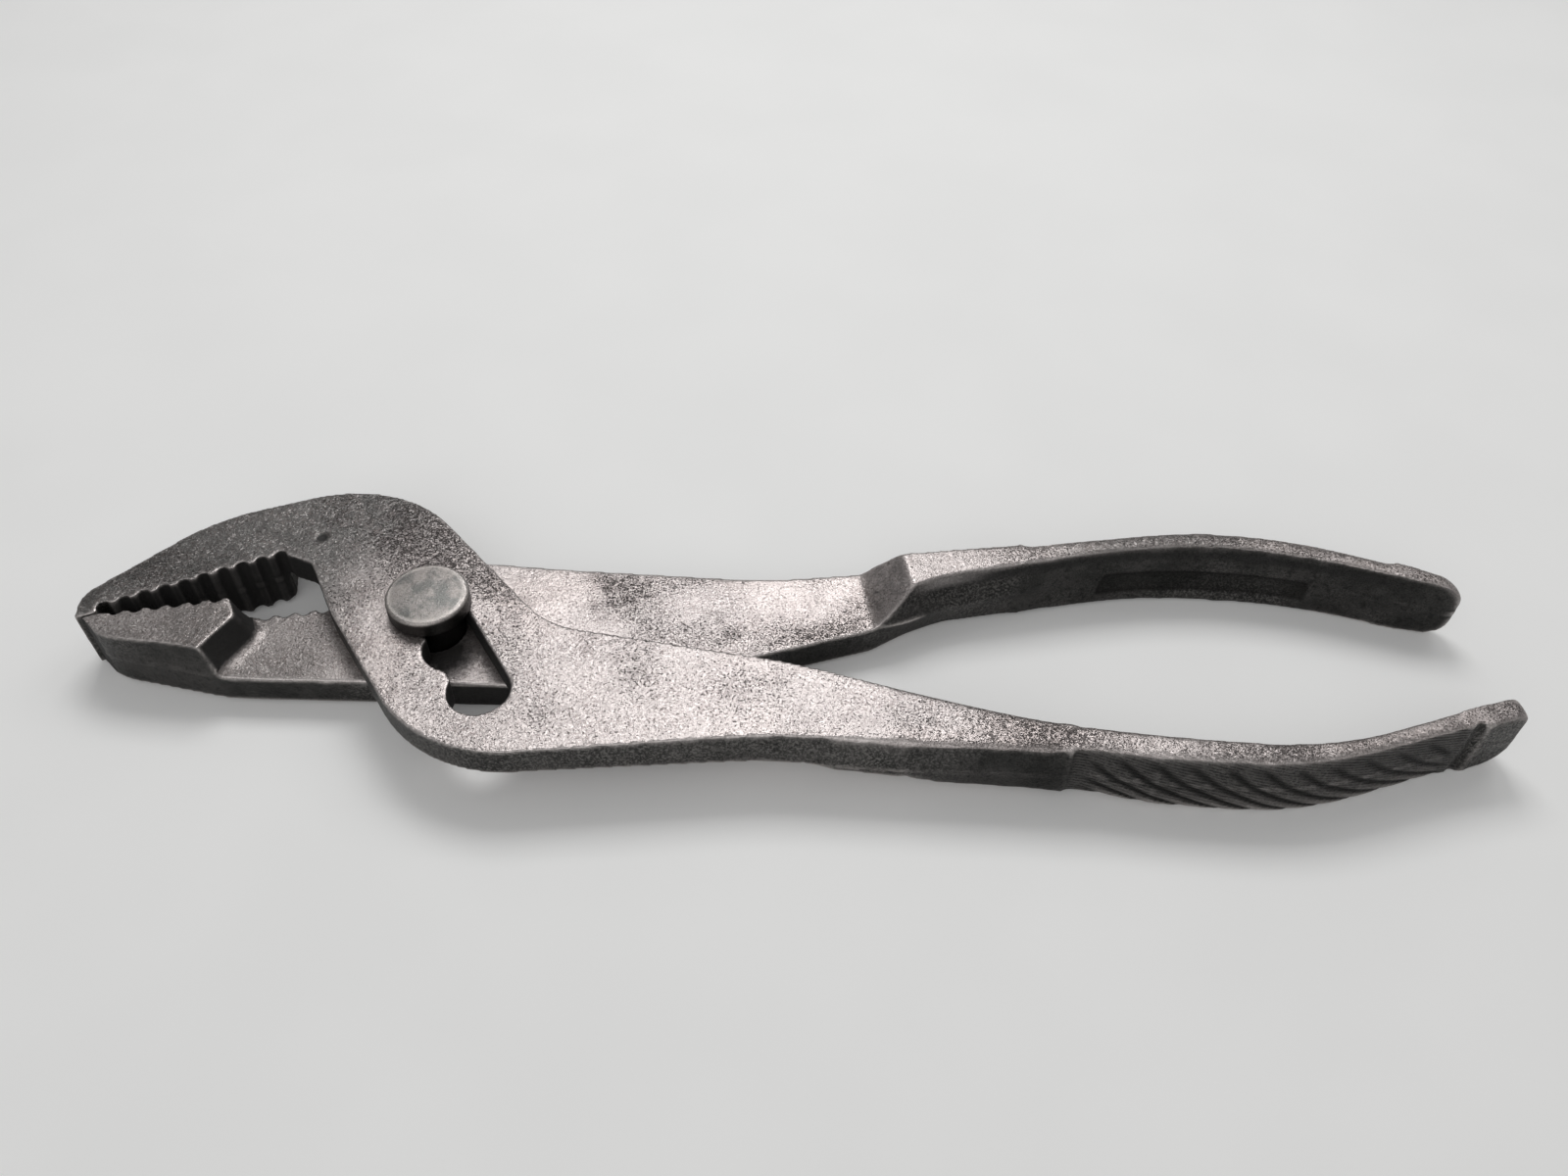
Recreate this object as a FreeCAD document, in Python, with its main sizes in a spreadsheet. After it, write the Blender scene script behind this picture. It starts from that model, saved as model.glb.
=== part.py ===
"""Slip-joint pliers with three jaw settings: two forged steel halves, a pivot bolt and its nut.

Frame: +Z up, the origin on the pivot axis in the plane that the pliers lie on. The jaws point
to -X and the handles to +X. All sizes are millimetres.
"""

import FreeCAD, Part
import math
import os
import Sketcher

DOCUMENT = FreeCAD.newDocument("slip_joint_pliers")
CUT_TOLERANCE = 1e-9
LEVEL_TOLERANCE = 1e-6

# ---------------------------------------------------------------- driving dimensions
SIZES = {
    # overall
    "jaw_reach": (56.2, "pivot axis to the tip of the jaws"),
    "handle_reach": (172.6, "pivot axis to the ends of the handles"),
    # plates, measured upward from the plane the pliers lie on
    "plate_thick": (5.6, "thickness of each of the two lapped plates"),
    "plate_lift": (0.7, "height of the lower plate's underside"),
    "lap_gap": (0.1, "running gap between the two plates"),
    "handle_depth": (12.6, "full depth of a handle at its belly"),
    # pivot
    "shank_dia": (9.4, "pivot bolt, round part"),
    "bore_clear": (0.05, "radial clearance of the bolt in the lower plate"),
    "slot_clear": (0.1, "radial clearance of the bolt in the slot"),
    "head_dia": (13.3, "pivot bolt, head"),
    "head_rise": (3.3, "pivot bolt, head thickness"),
    "head_round": (0.7, "rounding of the head's rim"),
    "head_gap": (0.1, "running gap under the head"),
    "stud_dia": (6.0, "threaded end of the bolt"),
    "nut_flats": (10.0, "pivot nut, across flats"),
    "nut_thick": (2.6, "pivot nut, thickness"),
    "nut_recess_clear": (0.4, "clearance around the nut's corners in its recess"),
    "nut_gap": (0.1, "running gap between the nut and the floor of its recess"),
    # slot in the upper plate
    "slot_pitch": (9.9, "distance between neighbouring settings"),
    "slot_settings": (3, "number of settings"),
    "slot_lean": (56.6, "angle of the slot below +X, in degrees"),
    "cusp_reach": (3.0, "slot centreline to the cusps between the settings"),
    "cusp_clear": (0.1, "gap between the bolt's flat and the cusps"),
    # teeth
    "tooth_pitch": (3.1, "spacing of the teeth along each jaw"),
    "tooth_deep": (0.8, "depth of the tooth gullets"),
    "gullet_round": (0.95, "radius of the tooth gullets"),
    "upper_lead": (0, "pitches from the front of the upper row to its first gullet"),
    "upper_plain_end": (0.2, "least plain run behind the upper jaw's last gullet"),
    "lower_lead": (1, "pitches from the front of the lower row to its first gullet"),
    "lower_plain_end": (3.0, "least plain run behind the lower half's last gullet"),
    "tip_gap": (0.15, "gap between the closed tips"),
    # jaw steps and shoulders between the plates and the full depth
    "nose_slope": (24.0, "lean of the lower nose's back face, in degrees"),
    "lower_ramp_run": (7.2, "length of the lower half's slope"),
    "lower_shoulder_x": (72.8, "foot of the lower half's shoulder on the X axis"),
    "lower_shoulder_skew": (10.3, "turn of the lower half's shoulder, in degrees"),
    "slotted_shoulder_x": (91.6, "foot of the slotted half's shoulder on the X axis"),
    "slotted_shoulder_skew": (33.0, "turn of the slotted half's shoulder, in degrees"),
    "slotted_ramp_run": (5.6, "length of the slotted half's slope"),
    "swell_start": (84.0, "where the handles start to swell to their full depth"),
    "swell_end": (124.0, "where the handles reach their full depth"),
    "slotted_underside": (2.0, "height of the slotted half's underside where it starts to swell"),
    "end_round": (5.7, "rounding of the handle ends, seen from the side"),
    "slotted_end_round": (2.5, "rounding of the slotted half's end at its upper face"),
    "ramp_round": (1.5, "rounding at the foot of the shoulders"),
    # grips
    "slotted_grip_start": (101.0, "front of the slotted half's ribbed panel"),
    "slotted_end_land": (10.1, "smooth land behind the slotted half's ribbed panel"),
    "lower_grip_start": (98.0, "front of the lower half's ribbed panel"),
    "lower_end_land": (11.4, "smooth land behind the lower half's ribbed panel"),
    "grip_step": (0.5, "how far the panels lie below the smooth lands"),
    # small marks
    "dimple_dia": (2.0, "round hardness-test dimple on the upper jaw"),
    "dimple_deep": (0.4, "depth of the dimple"),
    "dimple_x": (21.7, "dimple, distance in front of the pivot"),
    "dimple_y": (15.2, "dimple, distance behind the jaw line"),
}

# Corners of the outlines seen from above: X, Y and the radius that rounds the corner.
CORNERS = {
    # slotted half, from the tip back over the neck and along the inner edge of its handle
    "tip_pad_front": (-56.2, -4.5, 0.4),
    "tip_nose": (-57.0, 0.6, 5.0),
    "brow": (-40.8, 18.9, 30.0),
    "crown": (-11.4, 30.7, 22.5),
    "nape": (19.4, -3.1, 15.0),
    "inner_waist": (58.0, -9.4, 80.0),
    "inner_belly_start": (100.3, -20.8, 150.0),
    "inner_belly_end": (139.3, -23.9, 59.0),
    "slotted_end_inner": (170.6, -12.9, 0.8),
    "slotted_end_outer": (172.0, -16.9, 0.8),
    "slotted_notch_rear": (164.4, -19.1, 0.3),
    "slotted_notch_floor": (163.0, -18.4, 0.3),
    "outer_belly": (135.3, -27.1, 50.0),
    "outer_waist": (57.0, -23.1, 90.0),
    "heel": (4.15, -29.9, 24.0),
    "throat_side": (-15.8, -1.95, 40.0),
    "throat_top": (-21.9, 9.1, 1.5),
    "upper_teeth_end": (-27.2, 11.0, 0.4),
    "upper_teeth_start": (-52.6, -1.5, 0.4),
    "tip_pad_back": (-53.2, -3.2, 0.3),
    # lower half, from the tip along its front edge and back over the pivot
    "nose_front": (-50.2, -7.9, 12.0),
    "nose_root": (-31.5, -11.5, 30.0),
    "lower_waist": (30.7, -11.5, 40.0),
    "lower_shoulder_inner": (71.5, 1.9, 10.0),
    "lower_inner_bend": (84.0, 8.2, 20.0),
    "lower_inner_belly": (128.8, 21.7, 89.0),
    "lower_end_inner": (171.2, 8.8, 0.8),
    "lower_end_outer": (172.0, 11.6, 0.8),
    "lower_outer_belly": (136.0, 23.7, 76.0),
    "lower_shoulder_outer": (80.0, 14.9, 60.0),
    "lower_saddle": (54.0, 12.1, 60.0),
    "lower_hip": (-8.0, 16.4, 10.0),
    "lower_teeth_end": (-15.0, 5.0, 2.0),
    # foot of the lower nose's back face, where the full depth ends
    "nose_back_front": (-32.2, -10.4, 1.5),
    "nose_back_rear": (-28.5, -2.7, 1.5),
    "nose_back_crest": (-32.0, 3.5, 0.0),
    # back of the upper jaw's full depth, on the underside
    "upper_step_front": (-26.5, 6.0, 0.0),
    "upper_step_rear": (-31.5, 28.0, 0.0),
}

# Cuts run this far past the metal, and the lap's two cuts meet with an overlap at mid-plate.
CLEAR_OF_ALL = 60.0
MID_PLATE = 22.0
LAP_OVERLAP = 18.0
# A shoulder's slope is cut this many times its own length, to clear the metal.
SLOPE_OVERRUN = 3.0
NUT_SIDES = 6


class Length:
    """A number together with the sheet expression that gives it."""

    def __init__(self, text, value):
        self.text = text
        self.value = float(value)

    @staticmethod
    def of(other):
        return other if isinstance(other, Length) else Length(repr(float(other)), other)

    def _join(self, sign, other, value):
        return Length("(%s %s %s)" % (self.text, sign, other.text), value)

    def __add__(self, other):
        other = Length.of(other)
        return self._join("+", other, self.value + other.value)

    def __sub__(self, other):
        other = Length.of(other)
        return self._join("-", other, self.value - other.value)

    def __mul__(self, other):
        other = Length.of(other)
        return self._join("*", other, self.value * other.value)

    def __truediv__(self, other):
        other = Length.of(other)
        return self._join("/", other, self.value / other.value)

    def __neg__(self):
        return Length("(0 - %s)" % self.text, -self.value)


def make_sheet():
    """The sheet of sizes: the name beside the number, the number's alias, and what it is."""
    sheet = DOCUMENT.addObject("Spreadsheet::Sheet", "Sizes")
    rows = [(name, value, note) for name, (value, note) in SIZES.items()]
    for name, (x, y, radius) in CORNERS.items():
        rows.append((name + "_x", x, "corner, along X"))
        rows.append((name + "_y", y, "corner, along Y"))
        if radius:
            rows.append((name + "_round", radius, "corner, rounding"))
    for number, (name, value, note) in enumerate(rows, start=1):
        sheet.set("A%d" % number, name)
        sheet.set("B%d" % number, str(value))
        sheet.setAlias("B%d" % number, name)
        sheet.set("C%d" % number, note)
    DOCUMENT.recompute()
    return {name: Length("Sizes." + name, value) for name, value, _ in rows}


S = make_sheet()


def corner(name, dx=0.0, dy=0.0, sharp=False):
    """A named corner as (x, y, radius), moved by dx and dy."""
    x = S[name + "_x"]
    y = S[name + "_y"]
    if isinstance(dx, Length) or dx:
        x = x + dx
    if isinstance(dy, Length) or dy:
        y = y + dy
    radius = None if sharp else S.get(name + "_round")
    return x, y, radius


# ---------------------------------------------------------------- levels, upward
FLOOR = Length("0.0", 0.0)
LOWER_FACE = S["plate_lift"]
LAP_LOW = LOWER_FACE + S["plate_thick"] - S["lap_gap"] / 2
LAP_HIGH = LAP_LOW + S["lap_gap"]
UPPER_FACE = LOWER_FACE + S["plate_thick"] * 2


# ---------------------------------------------------------------- sketches and features
def plane_of(body, role):
    for feature in body.Origin.OriginFeatures:
        if feature.Role == role:
            return feature
    raise RuntimeError("no plane " + role)


def bind(thing, prop, length):
    """Sets a property from a Length, by expression when the Length comes from the sheet."""
    thing.setExpression(prop, Length.of(length).text)


def new_sketch(body, name, role="XY_Plane", height=None, turn=None):
    """A sketch on an origin plane: raised by height, and turned about the vertical by turn."""
    sketch = body.newObject("Sketcher::SketchObject", name)
    sketch.AttachmentSupport = [(plane_of(body, role), "")]
    sketch.MapMode = "FlatFace"
    axis = FreeCAD.Vector(0, 0, 1) if role == "XY_Plane" else FreeCAD.Vector(0, 1, 0)
    angle = Length.of(turn).value if turn is not None else 0.0
    sketch.AttachmentOffset = FreeCAD.Placement(
        FreeCAD.Vector(0, 0, 0), FreeCAD.Rotation(axis, angle)
    )
    if height is not None:
        bind(sketch, "AttachmentOffset.Base.z", height)
    if turn is not None:
        bind(sketch, "AttachmentOffset.Rotation.Angle", turn)
    return sketch


def datum(sketch, constraint, length):
    index = sketch.addConstraint(constraint)
    sketch.setExpression("Constraints[%d]" % index, Length.of(length).text)


def pin_point(sketch, geometry, end, x, y):
    """Holds a point at x, y from the sketch's origin."""
    datum(sketch, Sketcher.Constraint("DistanceX", -1, 1, geometry, end, x.value), x)
    datum(sketch, Sketcher.Constraint("DistanceY", -1, 1, geometry, end, y.value), y)


def outline(sketch, corners):
    """Draws a closed outline: straight runs, with a tangent arc at each rounded corner.

    corners is a list of (x, y, radius). A rounded corner keeps its point as construction
    geometry, and both of its runs point at it. A corner with no radius stays sharp.
    """
    corners = [(Length.of(x), Length.of(y), radius) for x, y, radius in corners]
    count = len(corners)
    points = [FreeCAD.Vector(x.value, y.value, 0) for x, y, _ in corners]
    joints = []
    for i, (_, _, radius) in enumerate(corners):
        into = (points[i] - points[i - 1]).normalize()
        out = (points[(i + 1) % count] - points[i]).normalize()
        turn = math.atan2(into.x * out.y - into.y * out.x, into.dot(out))
        if radius is None:
            joints.append((points[i], points[i], None, None))
            continue
        reach = radius.value * math.tan(abs(turn) / 2)
        left = FreeCAD.Vector(-into.y, into.x, 0)
        centre = points[i] - into * reach + left * math.copysign(radius.value, turn)
        joints.append((points[i] - into * reach, points[i] + out * reach, centre, turn))
    lines = []
    for i in range(count):
        start = joints[i][1]
        stop = joints[(i + 1) % count][0]
        if (stop - start).dot(points[(i + 1) % count] - points[i]) <= 0:
            raise RuntimeError("%s: the corners at %d and %d meet" % (sketch.Name, i, i + 1))
        lines.append(sketch.addGeometry(Part.LineSegment(start, stop), False))
    for i, (x, y, radius) in enumerate(corners):
        before = lines[i - 1]
        after = lines[i]
        if radius is None:
            sketch.addConstraint(Sketcher.Constraint("Coincident", before, 2, after, 1))
            pin_point(sketch, after, 1, x, y)
            continue
        start, stop, centre, turn = joints[i]
        first = start if turn > 0 else stop
        last = stop if turn > 0 else start
        circle = Part.Circle(centre, FreeCAD.Vector(0, 0, 1), radius.value)
        arc = sketch.addGeometry(
            Part.ArcOfCircle(circle, circle.parameter(first), circle.parameter(last)), False
        )
        point = sketch.addGeometry(Part.Point(points[i]), True)
        pin_point(sketch, point, 1, x, y)
        sketch.addConstraint(Sketcher.Constraint("PointOnObject", point, 1, before))
        sketch.addConstraint(Sketcher.Constraint("PointOnObject", point, 1, after))
        arc_start, arc_stop = (1, 2) if turn > 0 else (2, 1)
        sketch.addConstraint(Sketcher.Constraint("Tangent", before, 2, arc, arc_start))
        sketch.addConstraint(Sketcher.Constraint("Tangent", after, 1, arc, arc_stop))
        datum(sketch, Sketcher.Constraint("Radius", arc, radius.value), radius)


def circle(sketch, x, y, diameter):
    """Draws a circle held by its centre and diameter."""
    x = Length.of(x)
    y = Length.of(y)
    centre = FreeCAD.Vector(x.value, y.value, 0)
    index = sketch.addGeometry(
        Part.Circle(centre, FreeCAD.Vector(0, 0, 1), diameter.value / 2), False
    )
    pin_point(sketch, index, 3, x, y)
    datum(sketch, Sketcher.Constraint("Diameter", index, diameter.value), diameter)


def pad(body, sketch, length):
    """Raises a sketch upward by length."""
    feature = body.newObject("PartDesign::Pad", sketch.Name + "_pad")
    feature.Profile = sketch
    bind(feature, "Length", length)
    return feature


def pocket(body, sketch, length=None, upward=False, both_ways=False, taper=None):
    """Cuts a sketch through the body, and stops with an error if nothing was cut."""
    DOCUMENT.recompute()
    before = body.Shape.Volume
    feature = body.newObject("PartDesign::Pocket", sketch.Name + "_pocket")
    feature.Profile = sketch
    if length is None:
        feature.Type = "ThroughAll"
    else:
        bind(feature, "Length", length)
    if taper is not None:
        bind(feature, "TaperAngle", taper)
    feature.Reversed = upward
    feature.Midplane = both_ways
    DOCUMENT.recompute()
    if body.Shape.Volume > before - CUT_TOLERANCE:
        raise RuntimeError(feature.Name + " cuts nothing")
    return feature


def row_of(body, feature, sketch, pitch, count):
    """Repeats a feature along its sketch's horizontal axis."""
    DOCUMENT.recompute()
    pattern = body.newObject("PartDesign::LinearPattern", feature.Name + "_row")
    pattern.Originals = [feature]
    pattern.Direction = (sketch, ["H_Axis"])
    bind(pattern, "Length", pitch * (count - 1))
    bind(pattern, "Occurrences", count)
    body.Tip = pattern
    DOCUMENT.recompute()
    return pattern


def new_body(name):
    body = DOCUMENT.addObject("PartDesign::Body", name)
    body.Label = name
    body.Placement = FreeCAD.Placement()
    return body


def rectangle(x_low, x_high, y_low, y_high):
    """The four sharp corners of a rectangle."""
    return [
        (x_low, y_low, None),
        (x_high, y_low, None),
        (x_high, y_high, None),
        (x_low, y_high, None),
    ]


# ---------------------------------------------------------------- shapes both halves share
def blank_depth():
    """Height of a blank, which stands above both the plates and the handles until it is cut."""
    return UPPER_FACE + S["handle_depth"]


def side_profile(body, name, underside, upper_end_round):
    """Cuts a half down to its outline seen from the side.

    The jaw and plate keep the plates' outer faces. The handle swells to its full depth, from
    the level underside below and from the plate's face above, and its end is rounded.
    """
    reach = S["handle_reach"]
    sketch = new_sketch(body, name, "XZ_Plane")
    margin = Length.of(CLEAR_OF_ALL)
    front = -(S["jaw_reach"] + margin / 2)
    outline(sketch, rectangle(front - margin, reach + margin, -margin, margin * 2))
    outline(
        sketch,
        [
            (front, LOWER_FACE, None),
            (Length.of(MID_PLATE), LOWER_FACE, None),
            (S["swell_start"], underside, None),
            (S["swell_end"], FLOOR, None),
            (reach, FLOOR, S["end_round"]),
            (reach, S["handle_depth"], upper_end_round),
            (S["swell_end"], S["handle_depth"], None),
            (S["swell_start"], UPPER_FACE, None),
            (front, UPPER_FACE, None),
        ],
    )
    pocket(body, sketch, both_ways=True)


def shoulder_cut(body, name, foot_x, skew, run, lap, face):
    """Cuts the lap away from mid-plate to the shoulder, which slopes back to the full depth.

    lap is the level of the lapped face, and face is the outer face that the slope reaches
    after run. The slope carries on past the face, to clear the metal. The sketch is turned
    about the pivot axis by the shoulder's skew.
    """
    cosine = math.cos(math.radians(skew.value))
    foot = Length("(%s * cos(%s))" % (foot_x.text, skew.text), foot_x.value * cosine)
    outside = lap + (face - lap) * SLOPE_OVERRUN
    sketch = new_sketch(body, name, "XZ_Plane", turn=skew)
    outline(
        sketch,
        [
            (Length.of(MID_PLATE), lap, None),
            (foot, lap, S["ramp_round"]),
            (foot + run * SLOPE_OVERRUN, outside, None),
            (Length.of(MID_PLATE), outside, None),
        ],
    )
    pocket(body, sketch, both_ways=True)


def gullets(body, name, start, stop, lead, plain_end, side):
    """Cuts a row of round tooth gullets through a jaw.

    The row starts lead pitches behind the corner start and runs towards the corner stop, with
    as many gullets as leave the length plain_end at that end. side is +1 where the metal lies
    to the left of that direction, and -1 where it lies right.
    """
    start_x, start_y, _ = start
    stop_x, stop_y, _ = stop
    dx = stop_x - start_x
    dy = stop_y - start_y
    angle = Length(
        "atan2(%s; %s)" % (dy.text, dx.text), math.degrees(math.atan2(dy.value, dx.value))
    )
    run = Length("sqrt(%s ^ 2 + %s ^ 2)" % (dx.text, dy.text), math.hypot(dx.value, dy.value))
    pitches = (run - plain_end) / S["tooth_pitch"]
    count = Length("floor(%s)" % pitches.text, math.floor(pitches.value)) + 1 - lead
    sketch = new_sketch(body, name, "XY_Plane", turn=angle)
    bind(sketch, "AttachmentOffset.Base.x", start_x)
    bind(sketch, "AttachmentOffset.Base.y", start_y)
    offset = S["tooth_deep"] - S["gullet_round"]
    level = offset if side > 0 else -offset
    circle(sketch, S["tooth_pitch"] * lead, level, S["gullet_round"] * 2)
    cut = pocket(body, sketch, both_ways=True)
    row_of(body, cut, sketch, S["tooth_pitch"], count)


def jaw_corner(name, dy=0.0):
    """A named corner near the tips, which moves with the reach of the jaws."""
    return corner(name, dx=-S["jaw_reach"] - S["tip_pad_front_x"], dy=dy)


def end_corner(name, end):
    """A named corner near a handle's end, which moves with the reach of the handles."""
    return corner(name, dx=S["handle_reach"] - S[end + "_x"])


# ---------------------------------------------------------------- slotted half
def slotted_handle_end():
    """Outer end of the slotted half's handle, with the notch behind its ribbed panel."""
    names = [
        "slotted_end_inner",
        "slotted_end_outer",
        "slotted_notch_rear",
        "slotted_notch_floor",
    ]
    return [end_corner(name, "slotted_end_outer") for name in names]


def slotted_grip():
    """Outer edge of the slotted half's ribbed panel, a step below the smooth lands."""
    notch_x, notch_y, _ = end_corner("slotted_notch_rear", "slotted_end_outer")
    grip_end = S["handle_reach"] - S["slotted_end_land"]
    rear_run = grip_end - S["outer_belly_x"]
    rise = notch_y - S["outer_belly_y"]
    rear_y = S["outer_belly_y"] + rise * rear_run / (notch_x - S["outer_belly_x"])
    step = S["grip_step"]
    front_run = S["slotted_grip_start"] - S["outer_waist_x"]
    fall = S["outer_belly_y"] - S["outer_waist_y"]
    front_y = S["outer_waist_y"] + fall * front_run / (S["outer_belly_x"] - S["outer_waist_x"])
    return [
        (grip_end, rear_y + step, None),
        corner("outer_belly", dy=step),
        (S["slotted_grip_start"], front_y + step, None),
        (S["slotted_grip_start"], front_y, None),
    ]


def slotted_outline():
    """The slotted half from above, starting at the tip and going over the neck."""
    return (
        [
            jaw_corner("tip_pad_front"),
            jaw_corner("tip_nose"),
            corner("brow"),
            corner("crown"),
            corner("nape"),
            corner("inner_waist"),
            corner("inner_belly_start"),
            corner("inner_belly_end"),
        ]
        + slotted_handle_end()
        + slotted_grip()
        + [
            corner("outer_waist"),
            corner("heel"),
            corner("throat_side"),
            corner("throat_top"),
            corner("upper_teeth_end"),
            jaw_corner("upper_teeth_start"),
            jaw_corner("tip_pad_back"),
        ]
    )


def make_slotted_half():
    """Upper jaw and front handle in one forging, with the three-setting slot."""
    body = new_body("slotted_half")
    blank = new_sketch(body, "slotted_blank")
    outline(blank, slotted_outline())
    pad(body, blank, blank_depth())
    DOCUMENT.recompute()
    side_profile(body, "slotted_side", S["slotted_underside"], S["slotted_end_round"])

    lap = new_sketch(body, "slotted_lap", height=LAP_HIGH)
    margin = Length.of(CLEAR_OF_ALL)
    step_front = corner("upper_step_front", sharp=True)
    step_rear = corner("upper_step_rear", sharp=True)
    outline(
        lap,
        [
            (step_front[0], -margin, None),
            step_front,
            step_rear,
            (step_rear[0], margin, None),
            (Length.of(MID_PLATE + LAP_OVERLAP), margin, None),
            (Length.of(MID_PLATE + LAP_OVERLAP), -margin, None),
        ],
    )
    pocket(body, lap)
    shoulder_cut(
        body,
        "slotted_shoulder",
        S["slotted_shoulder_x"],
        -S["slotted_shoulder_skew"],
        S["slotted_ramp_run"],
        LAP_HIGH,
        LOWER_FACE,
    )

    lobe_dia = S["shank_dia"] + S["slot_clear"] * 2
    lobes = new_sketch(body, "slot_lobe", height=UPPER_FACE, turn=-S["slot_lean"])
    circle(lobes, 0.0, 0.0, lobe_dia)
    cut = pocket(body, lobes)
    row_of(body, cut, lobes, S["slot_pitch"], S["slot_settings"])
    channel = new_sketch(body, "slot_channel", height=UPPER_FACE, turn=-S["slot_lean"])
    travel = S["slot_pitch"] * (S["slot_settings"] - 1)
    outline(channel, rectangle(FLOOR, travel, -S["cusp_reach"], lobe_dia / 2))
    pocket(body, channel)

    gullets(
        body,
        "upper_gullet",
        jaw_corner("upper_teeth_start"),
        corner("upper_teeth_end"),
        S["upper_lead"],
        S["upper_plain_end"],
        1,
    )

    dimple = new_sketch(body, "dimple", height=UPPER_FACE)
    circle(dimple, -S["dimple_x"], S["dimple_y"], S["dimple_dia"])
    pocket(body, dimple, S["dimple_deep"])
    return body


# ---------------------------------------------------------------- lower half
def lower_grip():
    """Outer edge of the lower half's ribbed panel, a step below the smooth lands."""
    step = S["grip_step"]
    grip_end = S["handle_reach"] - S["lower_end_land"]
    rear_run = grip_end - S["lower_outer_belly_x"]
    rear_fall = S["lower_end_outer_y"] - S["lower_outer_belly_y"]
    rear_y = S["lower_outer_belly_y"] + rear_fall * rear_run / (
        S["handle_reach"] - S["lower_outer_belly_x"]
    )
    front_run = S["lower_grip_start"] - S["lower_shoulder_outer_x"]
    rise = S["lower_outer_belly_y"] - S["lower_shoulder_outer_y"]
    front_y = S["lower_shoulder_outer_y"] + rise * front_run / (
        S["lower_outer_belly_x"] - S["lower_shoulder_outer_x"]
    )
    return [
        (grip_end, rear_y, None),
        (grip_end, rear_y - step, None),
        corner("lower_outer_belly", dy=-step),
        (S["lower_grip_start"], front_y - step, None),
        (S["lower_grip_start"], front_y, None),
    ]


def lower_outline():
    """The lower half from above, starting at the tip and going along its front edge."""
    drop = -S["tip_gap"]
    return (
        [
            jaw_corner("tip_pad_front", dy=drop),
            jaw_corner("nose_front"),
            corner("nose_root"),
            corner("lower_waist"),
            corner("lower_shoulder_inner"),
            corner("lower_inner_bend"),
            corner("lower_inner_belly"),
            end_corner("lower_end_inner", "lower_end_outer"),
            end_corner("lower_end_outer", "lower_end_outer"),
        ]
        + lower_grip()
        + [
            corner("lower_shoulder_outer"),
            corner("lower_saddle"),
            corner("lower_hip"),
            corner("lower_teeth_end"),
            jaw_corner("tip_pad_back", dy=drop),
        ]
    )


def make_lower_half():
    """Lower jaw and rear handle in one forging, with the bore that carries the bolt."""
    body = new_body("lower_half")
    blank = new_sketch(body, "lower_blank")
    outline(blank, lower_outline())
    pad(body, blank, blank_depth())
    DOCUMENT.recompute()
    side_profile(body, "lower_side", LOWER_FACE, S["end_round"])

    margin = Length.of(CLEAR_OF_ALL)
    lap = new_sketch(body, "lower_lap", height=LAP_LOW)
    front = corner("nose_back_front")
    rear = corner("nose_back_rear")
    outline(
        lap,
        [
            (front[0], -margin, None),
            front,
            rear,
            corner("nose_back_crest"),
            (S["nose_back_crest_x"], margin, None),
            (Length.of(MID_PLATE + LAP_OVERLAP), margin, None),
            (Length.of(MID_PLATE + LAP_OVERLAP), -margin, None),
        ],
    )
    pocket(body, lap, upward=True, taper=S["nose_slope"])
    shoulder_cut(
        body,
        "lower_shoulder",
        S["lower_shoulder_x"],
        S["lower_shoulder_skew"],
        S["lower_ramp_run"],
        LAP_LOW,
        UPPER_FACE,
    )

    bore = new_sketch(body, "bolt_bore")
    circle(bore, 0.0, 0.0, S["shank_dia"] + S["bore_clear"] * 2)
    pocket(body, bore, both_ways=True)
    recess = new_sketch(body, "nut_recess", height=S["nut_thick"] + S["nut_gap"])
    circle(recess, 0.0, 0.0, nut_corners() + S["nut_recess_clear"] * 2)
    pocket(body, recess)

    gullets(
        body,
        "lower_gullet",
        jaw_corner("tip_pad_back"),
        corner("lower_teeth_end"),
        S["lower_lead"],
        S["lower_plain_end"],
        -1,
    )
    return body


# ---------------------------------------------------------------- pivot bolt and nut
def nut_corners():
    """The nut's size across its corners."""
    across = S["nut_flats"]
    half_side = 180.0 / NUT_SIDES
    return Length(
        "(%s / cos(%r))" % (across.text, half_side),
        across.value / math.cos(math.radians(half_side)),
    )


def make_pivot_bolt():
    """Button-headed bolt: a round part in the lower half, a flat past the slot's cusps."""
    body = new_body("pivot_bolt")
    head_low = UPPER_FACE + S["head_gap"]
    shank_low = S["nut_thick"]
    stud = new_sketch(body, "bolt_stud")
    circle(stud, 0.0, 0.0, S["stud_dia"])
    pad(body, stud, shank_low)
    shank = new_sketch(body, "bolt_shank", height=shank_low)
    circle(shank, 0.0, 0.0, S["shank_dia"])
    pad(body, shank, head_low - shank_low)
    head = new_sketch(body, "bolt_head", height=head_low)
    circle(head, 0.0, 0.0, S["head_dia"])
    pad(body, head, S["head_rise"])

    flat = new_sketch(body, "bolt_flat", height=LAP_HIGH, turn=-S["slot_lean"])
    reach = S["head_dia"]
    flat_at = -(S["cusp_reach"] - S["cusp_clear"])
    outline(flat, rectangle(-reach, reach, -reach, flat_at))
    pocket(body, flat, head_low - LAP_HIGH, upward=True)

    DOCUMENT.recompute()
    base = body.Tip
    rim_edge = top_edge(body.Shape, (head_low + S["head_rise"]).value)
    rim = body.newObject("PartDesign::Fillet", "head_rim")
    rim.Base = (base, [rim_edge])
    bind(rim, "Radius", S["head_round"])
    return body


def top_edge(shape, level):
    """The name of the round edge at a level."""
    for number, edge in enumerate(shape.Edges, start=1):
        box = edge.BoundBox
        if max(abs(box.ZMin - level), abs(box.ZMax - level)) < LEVEL_TOLERANCE:
            return "Edge%d" % number
    raise RuntimeError("no edge at %.3f" % level)


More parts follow.
